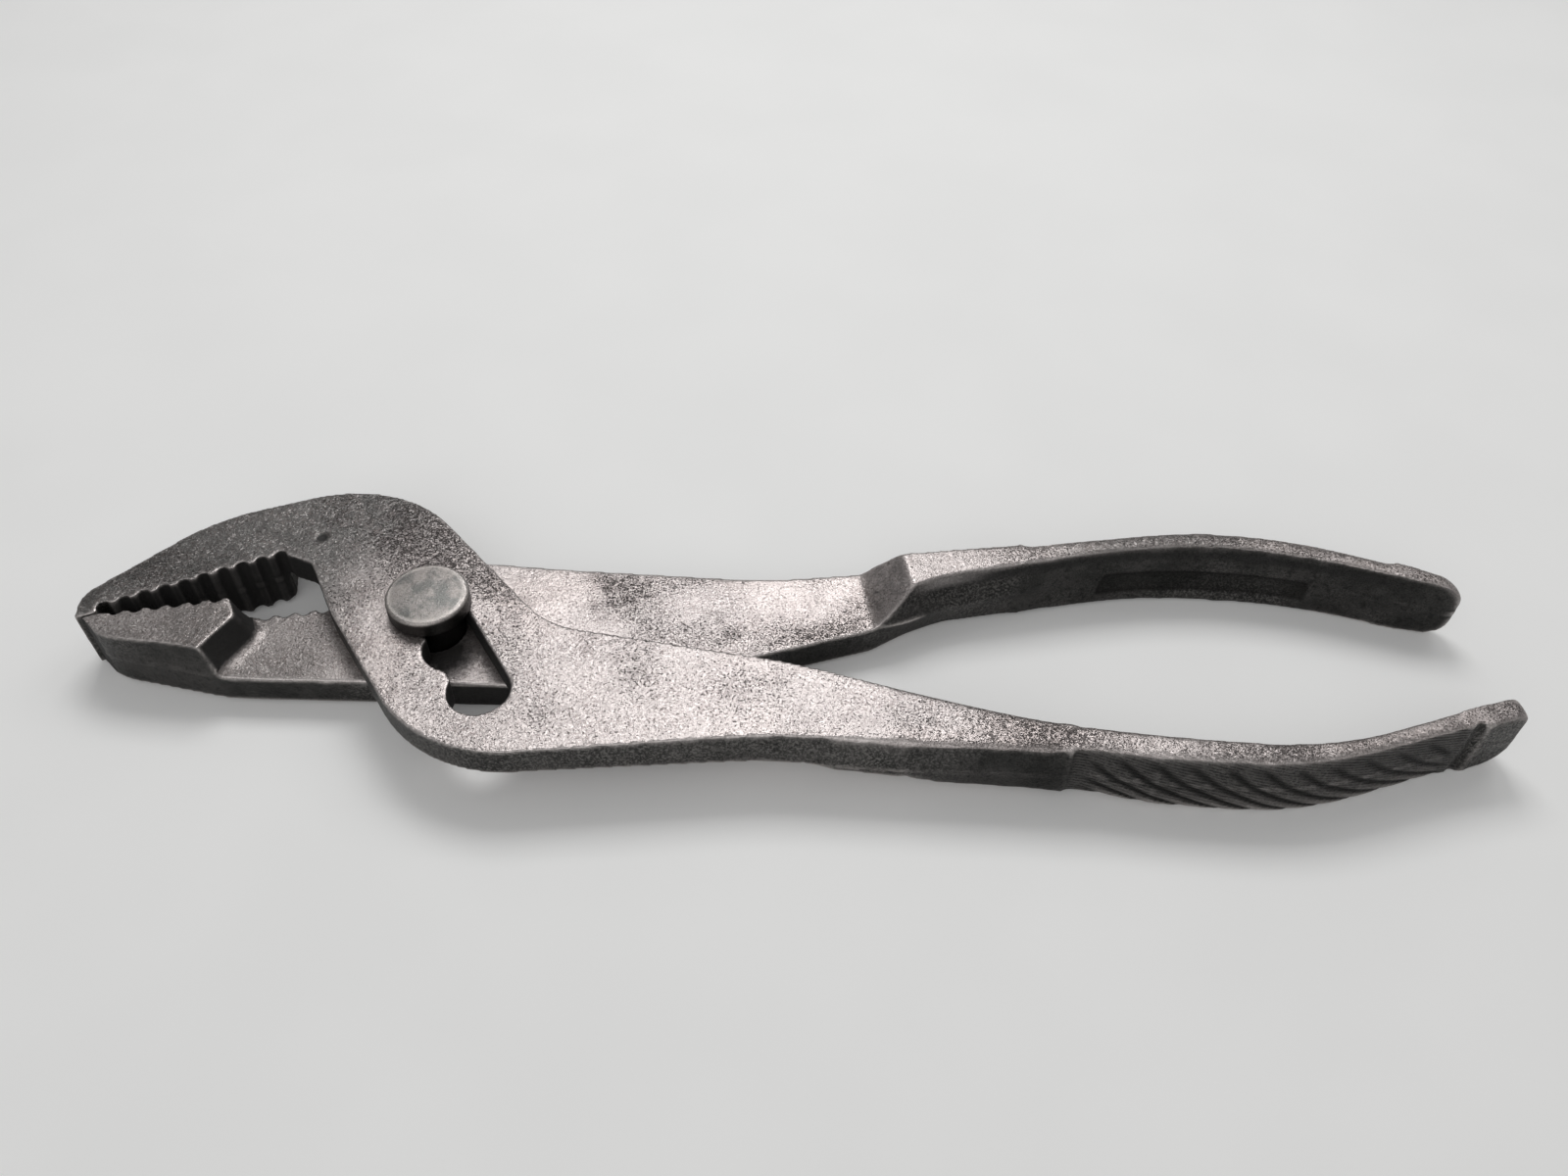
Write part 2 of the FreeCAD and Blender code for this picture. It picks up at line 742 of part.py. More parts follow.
def make_pivot_nut():
    """Low hexagonal nut, half sunk into the lower half's underside."""
    body = new_body("pivot_nut")
    sketch = new_sketch(body, "nut_hexagon")
    radius = nut_corners() / 2
    corners = []
    for step in range(NUT_SIDES):
        turn = 2 * math.pi * step / NUT_SIDES
        x = Length("(%s * %r)" % (radius.text, math.cos(turn)), radius.value * math.cos(turn))
        y = Length("(%s * %r)" % (radius.text, math.sin(turn)), radius.value * math.sin(turn))
        corners.append((x, y, None))
    outline(sketch, corners)
    circle(sketch, 0.0, 0.0, S["stud_dia"])
    pad(body, sketch, S["nut_thick"])
    DOCUMENT.recompute()
    return body


# ---------------------------------------------------------------- build, check and write
def check_and_write(bodies):
    DOCUMENT.recompute()
    faults = [
        "%s: %s" % (thing.Name, thing.State)
        for thing in DOCUMENT.Objects
        if "Invalid" in thing.State or "Error" in thing.State
    ]
    for body in bodies:
        if body.Shape.isNull() or not body.Shape.isValid():
            faults.append(body.Label + ": bad shape")
        elif len(body.Shape.Solids) != 1:
            faults.append("%s: %d solids" % (body.Label, len(body.Shape.Solids)))
    if faults:
        raise RuntimeError("; ".join(faults))
    os.makedirs("parts", exist_ok=True)
    for body in bodies:
        body.Shape.exportStep("parts/%s.step" % body.Label)
        print("%s: %.1f mm3" % (body.Label, body.Shape.Volume))


check_and_write([make_slotted_half(), make_lower_half(), make_pivot_bolt(), make_pivot_nut()])
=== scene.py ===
"""Old slip-joint pliers: two drop-forged halves with worn, pitted flats, a turned pivot bolt and its nut.

Everything is in metres in the model's own frame: +Z up, the origin on the pivot axis in the
plane that the pliers lie on, jaws towards -X, handles towards +X. Shapes are worked out in
millimetres and scaled once, where they enter a mesh.
"""

import bmesh
import bpy
import math
import numpy as np
from mathutils import Matrix, Vector


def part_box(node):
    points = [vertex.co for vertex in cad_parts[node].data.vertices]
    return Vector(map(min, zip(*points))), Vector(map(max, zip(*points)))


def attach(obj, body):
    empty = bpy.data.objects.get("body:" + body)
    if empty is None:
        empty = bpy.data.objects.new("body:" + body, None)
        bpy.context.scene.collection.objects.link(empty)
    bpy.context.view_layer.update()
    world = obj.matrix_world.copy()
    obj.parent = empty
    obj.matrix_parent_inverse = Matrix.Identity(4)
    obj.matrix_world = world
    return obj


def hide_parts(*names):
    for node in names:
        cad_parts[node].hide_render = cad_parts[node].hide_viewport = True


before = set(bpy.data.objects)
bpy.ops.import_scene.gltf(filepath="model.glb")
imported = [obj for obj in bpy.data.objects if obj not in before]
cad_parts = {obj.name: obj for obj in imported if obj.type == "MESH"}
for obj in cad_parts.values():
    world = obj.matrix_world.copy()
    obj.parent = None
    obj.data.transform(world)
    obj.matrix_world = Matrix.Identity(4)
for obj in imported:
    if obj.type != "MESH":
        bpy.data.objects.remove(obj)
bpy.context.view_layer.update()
MM = 0.001

# ---------------------------------------------------------------- levels and places, in mm
def node_box(node):
    """Lowest and highest corner of a CAD node, in mm."""
    low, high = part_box(node)
    return np.array(low) / MM, np.array(high) / MM


LOWER_LOW, LOWER_HIGH = node_box("lower_half")
_, BOLT_HIGH = node_box("pivot_bolt")
_, NUT_HIGH = node_box("pivot_nut")

# The slotted half's upper face, and the face where the two plates lap
PLATE_TOP = 11.9
LAP_LEVEL = 6.3
HANDLE_DEPTH = LOWER_HIGH[2]
MID_DEPTH = HANDLE_DEPTH / 2

# Width of the squares that the forgings are cut into, and, in metres, how near two points become one
GRID = 0.36
SAME_PLACE = 1e-7

# First and last X of each grip, and of the bare name panel in the rear handle
SLOTTED_GRIP = (101.0, 162.5)
LOWER_GRIP = (98.0, 161.2)
PANEL = (113.3, 148.3)

RIB_PITCH = 5.3
RIB_DEPTH = 0.27
HATCH_PITCH = 0.55
PANEL_DEPTH = 0.4

# Stretches along X, each as the pair it comes in over and the pair it goes out over
UPPER_TEETH = ((-54.0, -50.0), (-19.0, -15.0))
LAP_EDGE = ((4.0, 8.0), (50.0, 53.0))
EARLY_DROP = ((61.0, 66.0), (79.5, 80.5))
NOSE_SIDE = ((-50.0, -36.0), (-30.0, -26.0))
NOSE_FOOT = ((-37.0, -33.0), (-24.0, -21.0))
NOSE_BACK = ((-34.5, -33.5), (-24.0, -20.0))
SHOULDER_RAMP = ((68.0, 70.5), (84.0, 86.0))
SHOULDER_LEAN = ((71.5, 79.0), (80.0, 112.0))
INNER_SIDE = ((80.0, 84.0), (158.0, 166.0))
UNWORN_SIDE = ((79.0, 82.0), (149.5, 151.0))
BRIGHT_LAND_EDGE = ((78.0, 82.0), (104.0, 124.0))

# Levels, given in the same way
SLOPE_LEVELS = ((6.5, 7.4), (11.3, 11.8))
NOSE_FOOT_LEVELS = ((5.4, 6.0), (8.8, 10.2))
PANEL_LEVELS = ((2.3, 2.7), (6.4, 6.8))
UNDER_LAND_LEVELS = ((8.8, 10.2), (11.0, 11.5))

# Pitted patches as (share, x, y, reach): the neck, beside the head and the upper jaw's tip on the
# slotted half; the plate's middle, ahead of the shoulder and its foot on the lower half
SLOTTED_PITS = [(0.75, -4, 19, 15), (0.5, 9, 8, 8), (0.35, -44, 5, 9)]
LOWER_PITS = [(0.45, 32, 9, 13), (0.35, 60, -1, 9), (0.5, 68, 0, 5)]
RAGGED_PITS = [(0.9, 46.5, 1.5, 3.2), (0.7, 29.0, 10.0, 5.0)]

# Seeds of the fixed random lumps
SLOTTED_WEATHER, LOWER_WEATHER = 11, 41
SLOTTED_PIT_SEED, LOWER_PIT_SEED, RAGGED_SEED = 5, 6, 7

# How deep the flats' slow waves and their pitted dents go, and how rough the sides are
WAVE_DEPTH = 0.16
DENT_DEPTH = 0.13
SIDE_ROUGHNESS = 0.05


# ---------------------------------------------------------------- fields over space
def smooth(value, low, high):
    """0 below low, 1 above high, and an S-curve between: 3t^2 - 2t^3."""
    t = np.clip((value - low) / (high - low), 0.0, 1.0)
    return t * t * (3 - 2 * t)


def within(value, rise, fall):
    """1 inside a range and 0 outside it: rises through the pair rise, and drops through the pair fall."""
    return smooth(value, *rise) * (1 - smooth(value, *fall))


def amount_at(x, pairs):
    """The amount at each x, by straight lines between pairs (x, amount)."""
    return np.interp(x, *zip(*pairs))


def lattice(cells, seed):
    """A fixed random number from 0 to 1 for each whole-numbered cell, by mixing its three indices."""
    mixed = cells[:, 0] * 374761393 + cells[:, 1] * 668265263
    mixed = mixed + cells[:, 2] * 2147483647 + seed * 974634777
    mixed = (mixed ^ (mixed >> 13)) * 1274126177
    mixed = mixed ^ (mixed >> 16)
    return (mixed & 0xFFFF) / 65535.0


def lumps(points, size, seed):
    """Soft lumps of one size, from -1 to 1: random numbers on a cubic lattice, blended by S-curves."""
    scaled = points / size + 1000.0
    cell = np.floor(scaled).astype(np.int64)
    part = scaled - cell
    part = part * part * (3 - 2 * part)
    total = np.zeros(len(points))
    for dx in (0, 1):
        for dy in (0, 1):
            for dz in (0, 1):
                share = np.where(dx, part[:, 0], 1 - part[:, 0])
                share = share * np.where(dy, part[:, 1], 1 - part[:, 1])
                share = share * np.where(dz, part[:, 2], 1 - part[:, 2])
                total += share * lattice(cell + np.array([dx, dy, dz]), seed)
    return total * 2 - 1


def patch(points, centre_x, centre_y, reach):
    """A round patch seen from above: exp(-(distance / reach)^2)."""
    away = (points[:, 0] - centre_x) ** 2 + (points[:, 1] - centre_y) ** 2
    return np.exp(-away / reach ** 2)


def patches(points, places):
    """Several round patches together, each as (share, x, y, reach)."""
    return sum(share * patch(points, x, y, reach) for share, x, y, reach in places)


# ---------------------------------------------------------------- working a forging
class Forging:
    """An even mesh cut from a CAD half, worked by moving its points as whole arrays."""

    def __init__(self, name, node):
        self.name = name
        self.node = node
        self.mesh = self.even_mesh(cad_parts[node].data)
        count = len(self.mesh.vertices)
        flat = np.zeros(count * 3)
        self.mesh.vertices.foreach_get("co", flat)
        self.points = flat.reshape(-1, 3) / MM
        ends = np.zeros(len(self.mesh.edges) * 2, np.int64)
        self.mesh.edges.foreach_get("vertices", ends)
        self.ends = ends.reshape(-1, 2)
        self.degree = np.bincount(self.ends.ravel(), minlength=count)
        self.marks = {"soot_and_shade": np.zeros(count)}

    def even_mesh(self, cad_mesh):
        """The CAD mesh, merged into one closed skin and cut again into even squares of GRID."""
        work = bmesh.new()
        work.from_mesh(cad_mesh)
        bmesh.ops.remove_doubles(work, verts=work.verts, dist=SAME_PLACE)
        merged = bpy.data.meshes.new(self.name + "_merged")
        work.to_mesh(merged)
        work.free()
        holder = bpy.data.objects.new(self.name + "_merged", merged)
        bpy.context.scene.collection.objects.link(holder)
        cut = holder.modifiers.new("even", "REMESH")
        cut.mode = "VOXEL"
        cut.voxel_size = GRID * MM
        cut.adaptivity = 0.0
        ready = holder.evaluated_get(bpy.context.evaluated_depsgraph_get())
        mesh = bpy.data.meshes.new_from_object(ready)
        bpy.data.objects.remove(holder)
        bpy.data.meshes.remove(merged)
        return mesh

    def around(self, values):
        """The mean of each point's neighbours."""
        total = np.zeros_like(values)
        first, second = self.ends.T
        for axis in range(values.shape[1]):
            total[:, axis] = np.bincount(first, values[second, axis], len(values))
            total[:, axis] += np.bincount(second, values[first, axis], len(values))
        return total / self.degree[:, None]

    def ease(self, rounds, share):
        """Rounds the edges off: each round moves a point half way to its neighbours' mean, times share."""
        step = 0.5 * np.broadcast_to(share, len(self.points))[:, None]
        for _ in range(rounds):
            self.points += (self.around(self.points) - self.points) * step

    def put_points(self):
        """Puts the worked points back into the mesh, in metres."""
        self.mesh.vertices.foreach_set("co", (self.points * MM).ravel())
        self.mesh.update()

    def normals(self):
        """The outward direction at each point."""
        self.put_points()
        flat = np.zeros(len(self.points) * 3)
        self.mesh.vertex_normals.foreach_get("vector", flat)
        return flat.reshape(-1, 3)

    def sides(self, bin_width=0.6):
        """The lowest and highest Y of the half at each point's X, from the handle's own outline.

        The points are sorted into narrow bins along X, and the bins' extremes are joined by
        straight lines.
        """
        x = self.points[:, 0]
        start = x.min()
        index = ((x - start) / bin_width).astype(np.int64)
        count = index.max() + 1
        low = np.full(count, np.inf)
        high = np.full(count, -np.inf)
        np.minimum.at(low, index, self.points[:, 1])
        np.maximum.at(high, index, self.points[:, 1])
        centres = start + (np.arange(count) + 0.5) * bin_width
        return np.interp(x, centres, low), np.interp(x, centres, high)

    def across(self):
        """How far each point lies across the half: 0 at its lowest Y there, and 1 at its highest."""
        low, high = self.sides()
        return np.clip((self.points[:, 1] - low) / np.maximum(high - low, 0.1), 0, 1)

    def soil_and_shade(self, amount):
        """Darkens each point to amount, as grime and painted shade, unless it is darker already."""
        self.marks["soot_and_shade"] = np.maximum(self.marks["soot_and_shade"], amount)

    def mark_edges(self, unworn=0.0, rubbed=0.0):
        """Marks worn edges, and hollow corners darkened as grime and painted shade, from how far a point
        stands off its neighbours.

        unworn is 1 where an edge keeps its dark skin, as the edges that face +Y do everywhere; such points
        also take the skin's dark colour, which at the grip's steps is painted shade.
        Edges darkened as grime and painted shade aren't worn either, and rubbed is 1 where an edge is
        bright without being sharp.
        """
        normals = self.normals()
        proud = ((self.points - self.around(self.points)) * normals).sum(1)[:, None]
        for _ in range(2):
            proud = (proud + self.around(proud)) / 2
        proud = proud[:, 0]
        kept = (1 - 0.9 * smooth(normals[:, 1], 0.15, 0.5)) * (1 - unworn)
        kept = kept * (1 - 0.9 * self.marks["soot_and_shade"])
        self.marks["worn"] = np.maximum(smooth(proud, 0.004, 0.035) * kept, rubbed)
        # Grime and painted shade in the hollows and inner corners.
        self.marks["corner_shade_and_grime"] = smooth(-proud, 0.004, 0.04)
        upright = np.abs(normals[:, 2])
        # The sides count as skin, whose dark colour is partly forge skin and partly painted shade.
        skin_and_shade = 1 - smooth(upright - 0.10 * smooth(normals[:, 1], 0.1, 0.4), 0.30, 0.80)
        self.marks["skin_and_shade"] = np.maximum(skin_and_shade, unworn)

    def finish(self, body, material):
        """Writes the marks as attributes and puts the piece on its body in the node's place."""
        self.put_points()
        for name, values in self.marks.items():
            layer = self.mesh.attributes.new(name, "FLOAT", "POINT")
            layer.data.foreach_set("value", values.astype(np.float32))
        self.mesh.shade_smooth()
        self.mesh.materials.clear()
        self.mesh.materials.append(material)
        piece = bpy.data.objects.new(self.name, self.mesh)
        bpy.context.scene.collection.objects.link(piece)
        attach(piece, body)
        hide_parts(self.node)
        return piece


def rib_grooves(x, z, start):
    """Depth of the grip's ribs, from 0 on a crest to 1 in a groove.

    A groove starts at the upper edge and runs back as it comes down, ever flatter: at a share
    q of the way down it has run 11q + 9.5q^3 mm. Between two grooves the rib is a low arch.
    """
    q = (HANDLE_DEPTH - z) / HANDLE_DEPTH
    turn = (x - start - 11.0 * q - 9.5 * q ** 3) / RIB_PITCH
    off = np.abs(turn - np.round(turn))
    valley = np.exp(-(off / 0.19) ** 2)
    return 0.6 * valley + 0.4 * (1 - 2 * off) ** 2


def crown_sides(forging, low_side, high_side):
    """Crowns a half's sides, which stand proud at mid-depth, where the two dies met.

    Each side is moved out by amount(x) * (1 - h^2), where h goes from -1 at the bottom to 1 at
    the top, and the move fades to nothing across the width. A side's amounts are pairs (x, mm).
    """
    across = forging.across()
    x, y, z = forging.points.T
    level = np.clip((z - MID_DEPTH) / MID_DEPTH, -1, 1)
    move = amount_at(x, high_side) * across ** 2 - amount_at(x, low_side) * (1 - across) ** 2
    forging.points[:, 1] = y + (1 - level ** 2) * move


def fill_front_side(forging, foot, all_levels=((0.0, 0.0), (1.0, 0.0))):
    """Moves the side that faces -Y outwards, at its foot, and at every level where that is asked for.

    Both amounts are pairs (x, mm). The foot's dies out by z = 6, and all of it across the width.
    """
    across = forging.across()
    x, y, z = forging.points.T
    move = amount_at(x, all_levels) + amount_at(x, foot) * (1 - smooth(z, -1.0, 6.0))
    forging.points[:, 1] = y - move * (1 - across) ** 1.5


def cut_grip(forging, outer_is_high, start, stop):
    """Cuts the ribs into a handle's outer face, fading in behind the grip's front step."""
    low, high = forging.sides()
    x, y, z = forging.points.T
    outer = high if outer_is_high else low
    inward = -1.0 if outer_is_high else 1.0
    near = 1 - smooth(np.abs(y - outer), 1.3, 2.4)
    down = (HANDLE_DEPTH - z) / HANDLE_DEPTH
    cut = near * within(x, (start + 0.4, start + 6.0), (stop - 3.0, stop - 0.2)) * smooth(down, 0.08, 0.30)
    ribs = rib_grooves(x, z, start) * cut
    forging.points[:, 1] += inward * RIB_DEPTH * ribs
    forging.marks["ribs"] = ribs
    forging.marks["grip"] = near * within(x, (start, start + 0.8), (stop - 0.8, stop))
    forging.marks["hatch"] = (z + 0.22 * (x - start) + 2.0 * down ** 2) / HATCH_PITCH


def weather_flats(forging, seed, calm):
    """Leaves the flats slightly uneven, as rubbed forgings are, and pits them a little deeper in patches.

    calm is 1 where a flat has to stay true, such as under the bolt's head.
    """
    normals = forging.normals()
    points = forging.points
    facing = smooth(np.abs(normals[:, 2]), 0.6, 0.95) * np.sign(normals[:, 2])
    inside = np.abs(points[:, 2] - LAP_LEVEL) < 0.4
    free = (1 - calm) * np.where(inside, 0.0, 1.0)
    wave = 0.5 + 0.35 * lumps(points, 9.0, seed) + 0.15 * lumps(points, 4.0, seed + 1)
    dents = smooth(lumps(points, 1.5, seed + 2) + 0.35 * lumps(points, 0.8, seed + 3), 0.30, 0.75)
    depth = WAVE_DEPTH * wave + DENT_DEPTH * dents * forging.marks["pitted"]
    points[:, 2] -= facing * depth * free
    outward = normals[:, :2] * (1 - np.abs(facing))[:, None]
    rough = SIDE_ROUGHNESS * (lumps(points, 2.2, seed + 4) - 1)
    points[:, :2] += outward * (rough * free)[:, None]


def round_handle(forging, grip, start):
    """Rounds a handle's long edges more than the rest, but not the steps at the ends of its grip."""
    x = forging.points[:, 0]
    front, back = grip
    front_step = np.exp(-((x - front) / 1.2) ** 2)
    end_stop = within(x, (back - 1.5, back - 0.5), (back + 3.0, back + 4.5))
    crisp = np.maximum(front_step, end_stop)
    forging.ease(14, smooth(x, start, start + 14.0) * (1 - crisp))


def deepen_outer_edge(forging):
    """Draws the front handle's outer edge down ahead of its own step, where the plate thickens early.

    Heights near the edge are stretched downwards from the plate's top, so that the bottom
    follows a falling line along X; the stretch fades out within 3.5 mm of the edge.
    """
    low, _ = forging.sides()
    x, y, z = forging.points.T
    was = amount_at(x, [(75.7, LAP_LEVEL), (80.5, 2.4)])
    wanted = amount_at(x, [(61, LAP_LEVEL), (66, 4.8), (72, 4.2), (76.6, 3.1), (80.5, 2.4)])
    stretch = np.maximum((PLATE_TOP - wanted) / (PLATE_TOP - was), 1.0) - 1.0
    near = 1 - smooth(y - low, 0.9, 3.5)
    share = near * within(x, *EARLY_DROP)
    forging.points[:, 2] = z - (PLATE_TOP - z) * stretch * share


def mark_slotted_half(forging):
    """Marks where the slotted half is pitted, most on the neck, and where it is greyed, as dulled steel and
    painted shade, all over the upper jaw.
    """
    points = forging.points
    x, y, _ = points.T
    pitted = 0.22 + patches(points, SLOTTED_PITS) + 0.4 * smooth(x, 62, 100)
    pitted += 0.35 * lumps(points, 7.0, SLOTTED_PIT_SEED)
    forging.marks["pitted"] = np.clip(pitted, 0, 1)
    # Dulled steel, and painted shade where the light falls off towards the jaw.
    forging.marks["dulled_and_shaded"] = 0.97 * (1 - smooth(x - 0.5 * y, -26.0, 0.0))


def paint_shade_on_slotted_half(forging):
    """Paints shade on the slot's walls, the walls of the teeth and the lap's edge, and darkens the test
    dimple.
    """
    low, high = forging.sides()
    points = forging.points
    x, y, z = points.T
    below_top = 1 - smooth(z, 11.2, 11.75)
    # Painted shade on the slot's walls and the walls of the teeth, which lie in shadow.
    slot_walls = smooth(patch(points, 5.5, -8.3, 11.0), 0.1, 0.5)
    tooth_walls = (1 - smooth(y - low, 1.0, 2.2)) * within(x, *UPPER_TEETH)
    forging.soil_and_shade(below_top * np.maximum(slot_walls, 0.9 * tooth_walls))
    # Painted shade along the lap's rounded upper edge, which is shaded where it rounds over.
    forging.soil_and_shade(0.9 * smooth(y - high, -0.45, -0.15) * within(x, *LAP_EDGE))
    dimple = smooth(patch(points, -21.7, 15.2, 1.1), 0.3, 0.7)
    forging.soil_and_shade(0.8 * dimple * smooth(z, 10.5, 11.0))


def slotted_half_forging(material):
    """The half with the slot: upper jaw, neck, upper plate and the front handle."""
    forging = Forging("slotted_half_forging", "slotted_half")
    forging.ease(3, 1.0)
    deepen_outer_edge(forging)
    round_handle(forging, SLOTTED_GRIP, 66.0)
    crown_sides(
        forging,
        low_side=[(20, 0.0), (55, 1.4), (64, 1.8), (76, 1.8), (88, 1.2), (101, 0.8),
                  (115, 0.5), (160, 0.4), (171, 0.0)],
        high_side=[(66, 0.0), (90, 0.4), (160, 0.4), (171, 0.0)],
    )
    fill_front_side(
        forging,
        foot=[(103.5, 0.0), (114, 0.9), (146, 0.7), (160.5, 0.0)],
        all_levels=[(103.5, 0.0), (114, 0.95), (146, 0.8), (160.5, 0.0)],
    )
    mark_slotted_half(forging)
    cut_grip(forging, False, *SLOTTED_GRIP)
    paint_shade_on_slotted_half(forging)
    head_seat = smooth(patch(forging.points, 0, 0, 8.0), 0.25, 0.6)
    weather_flats(forging, SLOTTED_WEATHER, head_seat)
    x, _, z = forging.points.T
    front, back = SLOTTED_GRIP
    # Painted shade: the grip's steps keep the skin's dark colour, without worn edges, below the top.
    grip_end_shade = np.exp(-((x - front) / 4.0) ** 2) + np.exp(-((x - back) / 3.0) ** 2)
    forging.mark_edges(0.85 * grip_end_shade * (1 - smooth(z, 10.0, 11.5)))
    return forging.finish("slotted_half", material)


def lean_shoulder(forging):
    """Leans the handle's inner side back behind the shoulder, above and below the dies' meeting line.

    At each X the side moves by a curve through three levels: in at the top, out at mid-depth
    and a little in at the bottom. The move is greatest just behind the shoulder's foot, dies
    out towards the belly, and fades to nothing across the handle.
    """
    nearness = 1 - forging.across()
    x, y, z = forging.points.T
    move = amount_at(z, [(0.4, 1.0), (LAP_LEVEL, -1.1), (PLATE_TOP, 2.2)])
    forging.points[:, 1] = y + move * within(x, *SHOULDER_LEAN) * nearness ** 1.3


def soften_nose_foot(forging):
    """Eases the foot of the lower nose's back face into the plate, as a wide hollow curve."""
    _, high = forging.sides()
    x, y, z = forging.points.T
    foot = within(x, *NOSE_FOOT) * within(z, *NOSE_FOOT_LEVELS)
    clear_of_teeth = smooth(y, -10.6, -9.4) * smooth(high - y, 1.6, 3.0)
    forging.ease(26, foot * clear_of_teeth)


def trim_nose_side(forging):
    """Leans the nose's outer side in towards its top, by up to 1 mm at the back corner.

    The move dies out by z = 5, forwards by x = -50, and across the width.
    """
    nearness = 1 - forging.across()
    x, y, z = forging.points.T
    forging.points[:, 1] = y + within(x, *NOSE_SIDE) * smooth(z, 5.0, 10.5) * nearness ** 1.5


def grind_tip(forging):
    """Grinds a narrow flat on the front of the lower tip: points past a plane are put back onto it, and the
    flat is painted dark as shade.
    """
    facing = np.array([-0.68, -0.73, 0.0]) / math.hypot(0.68, 0.73)
    tip = np.array([LOWER_LOW[0], -4.65, 0.0])
    ground_off = 0.8
    past = forging.points @ facing - (tip @ facing - ground_off)
    forging.points -= np.maximum(past, 0.0)[:, None] * facing
    # Painted shade on the ground flat, which is seen at a grazing angle.
    forging.soil_and_shade(smooth(past, -0.10, 0.02))


def sink_panel(forging):
    """Sinks the bare name panel into the inner side of the handle, with slanted ends.

    Returns where the inner side isn't rubbed bright: round the panel, and along the crease ahead of it.
    """
    low, _ = forging.sides()
    x, y, z = forging.points.T
    start, stop = PANEL
    near = 1 - smooth(np.abs(y - low), 2.2, 2.8)
    slant = (LAP_LEVEL - z) * 0.27
    ends = smooth(x, start - 0.4 - slant, start - slant) * (1 - smooth(x, stop, stop + 0.4))
    inside = near * ends * within(z, *PANEL_LEVELS)
    forging.points[:, 1] += PANEL_DEPTH * inside
    forging.marks["panel"] = inside
    return near * within(x, *UNWORN_SIDE) * (1 - smooth(z, 7.0, 8.0))


def mark_lower_half(forging):
    """Marks where the lower half is pitted, with two ragged clusters on the plate, and where it is greyed
    as dulled steel and painted shade.
    """
    points = forging.points
    x = points[:, 0]
    pitted = 0.15 + patches(points, LOWER_PITS) + 0.4 * smooth(x, 80, 100)
    pitted += 0.35 * lumps(points, 7.0, LOWER_PIT_SEED)
    ragged = np.clip(0.35 + 1.1 * lumps(points, 1.8, RAGGED_SEED), 0, 1)
    pitted += ragged * patches(points, RAGGED_PITS)
    forging.marks["pitted"] = np.clip(pitted, 0, 1)
    behind_shoulder = 0.8 * smooth(x, 96.0, 112.0) * (1 - 0.7 * smooth(x, 128.0, 145.0))
    # Dulled steel, and painted shade, on the jaw and behind the shoulder.
    forging.marks["dulled_and_shaded"] = 0.6 * (1 - smooth(x, -20.0, -4.0)) + behind_shoulder


def paint_shade_on_lower_half(forging):
    """Paints shade on the nose's back slope, under the bolt's head and on what is seen in the slot, and
    darkens the shoulder's ramp.
    """
    points = forging.points
    x, y, z = points.T
    slope = within(z, *SLOPE_LEVELS)
    # Painted shade on the nose's back slope, which lies in shadow.
    nose_back = slope * within(x, *NOSE_BACK) * smooth(y, -11.0, -10.0)
    ramp = smooth(forging.normals()[:, 2], 0.35, 0.6)
    shoulder = slope * ramp * within(x, *SHOULDER_RAMP)
    # Painted shade under the bolt's head and on the faces seen down in the slot.
    under_head = 1.15 * patch(points, 2.5, -5.0, 4.9) * smooth(z, 6.0, 6.2)
    seen_in_slot = (1 - smooth(z, 5.6, 6.0)) * smooth(patch(points, 11.0, -15.0, 9.0), 0.2, 0.6)
    forging.soil_and_shade(0.8 * nose_back)
    forging.soil_and_shade(0.5 * shoulder)
    forging.soil_and_shade(np.clip(under_head, 0, 1))
    forging.soil_and_shade(seen_in_slot)


def paint_shade_under_land(forging, normals):
    """Paints a dark band along the rear handle's inner side, just below its upper land, as painted shade
    and a painted dark reflection.
    """
    x, _, z = forging.points.T
    inner = smooth(-normals[:, 1], 0.3, 0.6) * within(x, *INNER_SIDE)
    # Painted shade and dark reflection on the inner side, under the land.
    forging.soil_and_shade(0.75 * inner * within(z, *UNDER_LAND_LEVELS))


def rubbed_land_edge(forging, normals):
    """Where the rear handle's upper inner edge is rubbed bright, behind the shoulder."""
    x, _, z = forging.points.T
    facing = within(normals[:, 2], (0.35, 0.55), (0.80, 0.92)) * smooth(-normals[:, 1], 0.2, 0.4)
    return 0.9 * facing * smooth(z, 9.5, 10.5) * within(x, *BRIGHT_LAND_EDGE)


def lower_half_forging(material):
    """The half that holds the bolt: lower jaw, lower plate and the rear handle."""
    forging = Forging("lower_half_forging", "lower_half")
    forging.ease(3, 1.0)
    round_handle(forging, LOWER_GRIP, 86.0)
    soften_nose_foot(forging)
    trim_nose_side(forging)
    crown_sides(
        forging,
        low_side=[(84, 0.0), (110, 0.45), (160, 0.4), (171, 0.0)],
        high_side=[(20, 0.0), (55, 1.0), (76, 1.4), (88, 1.0), (115, 0.5), (160, 0.4), (171, 0.0)],
    )
    lean_shoulder(forging)
    fill_front_side(forging, foot=[(86, 0.0), (100, 1.6), (134, 1.7), (148, 1.0), (166, 0.0)])
    paint_shade_on_lower_half(forging)
    grind_tip(forging)
    mark_lower_half(forging)
    cut_grip(forging, True, *LOWER_GRIP)
    unworn = sink_panel(forging)
    normals = forging.normals()
    paint_shade_under_land(forging, normals)
    weather_flats(forging, LOWER_WEATHER, np.zeros(len(forging.points)))
    forging.mark_edges(unworn, rubbed_land_edge(forging, normals))
    return forging.finish("lower_half", material)


# ---------------------------------------------------------------- turned pieces
# Heights over which the bolt head's rubbed rim comes in, and how far in from its edge it starts and ends
RIM_LEVELS = (14.4, 14.7)
RIM_REACH = (1.3, 0.6)


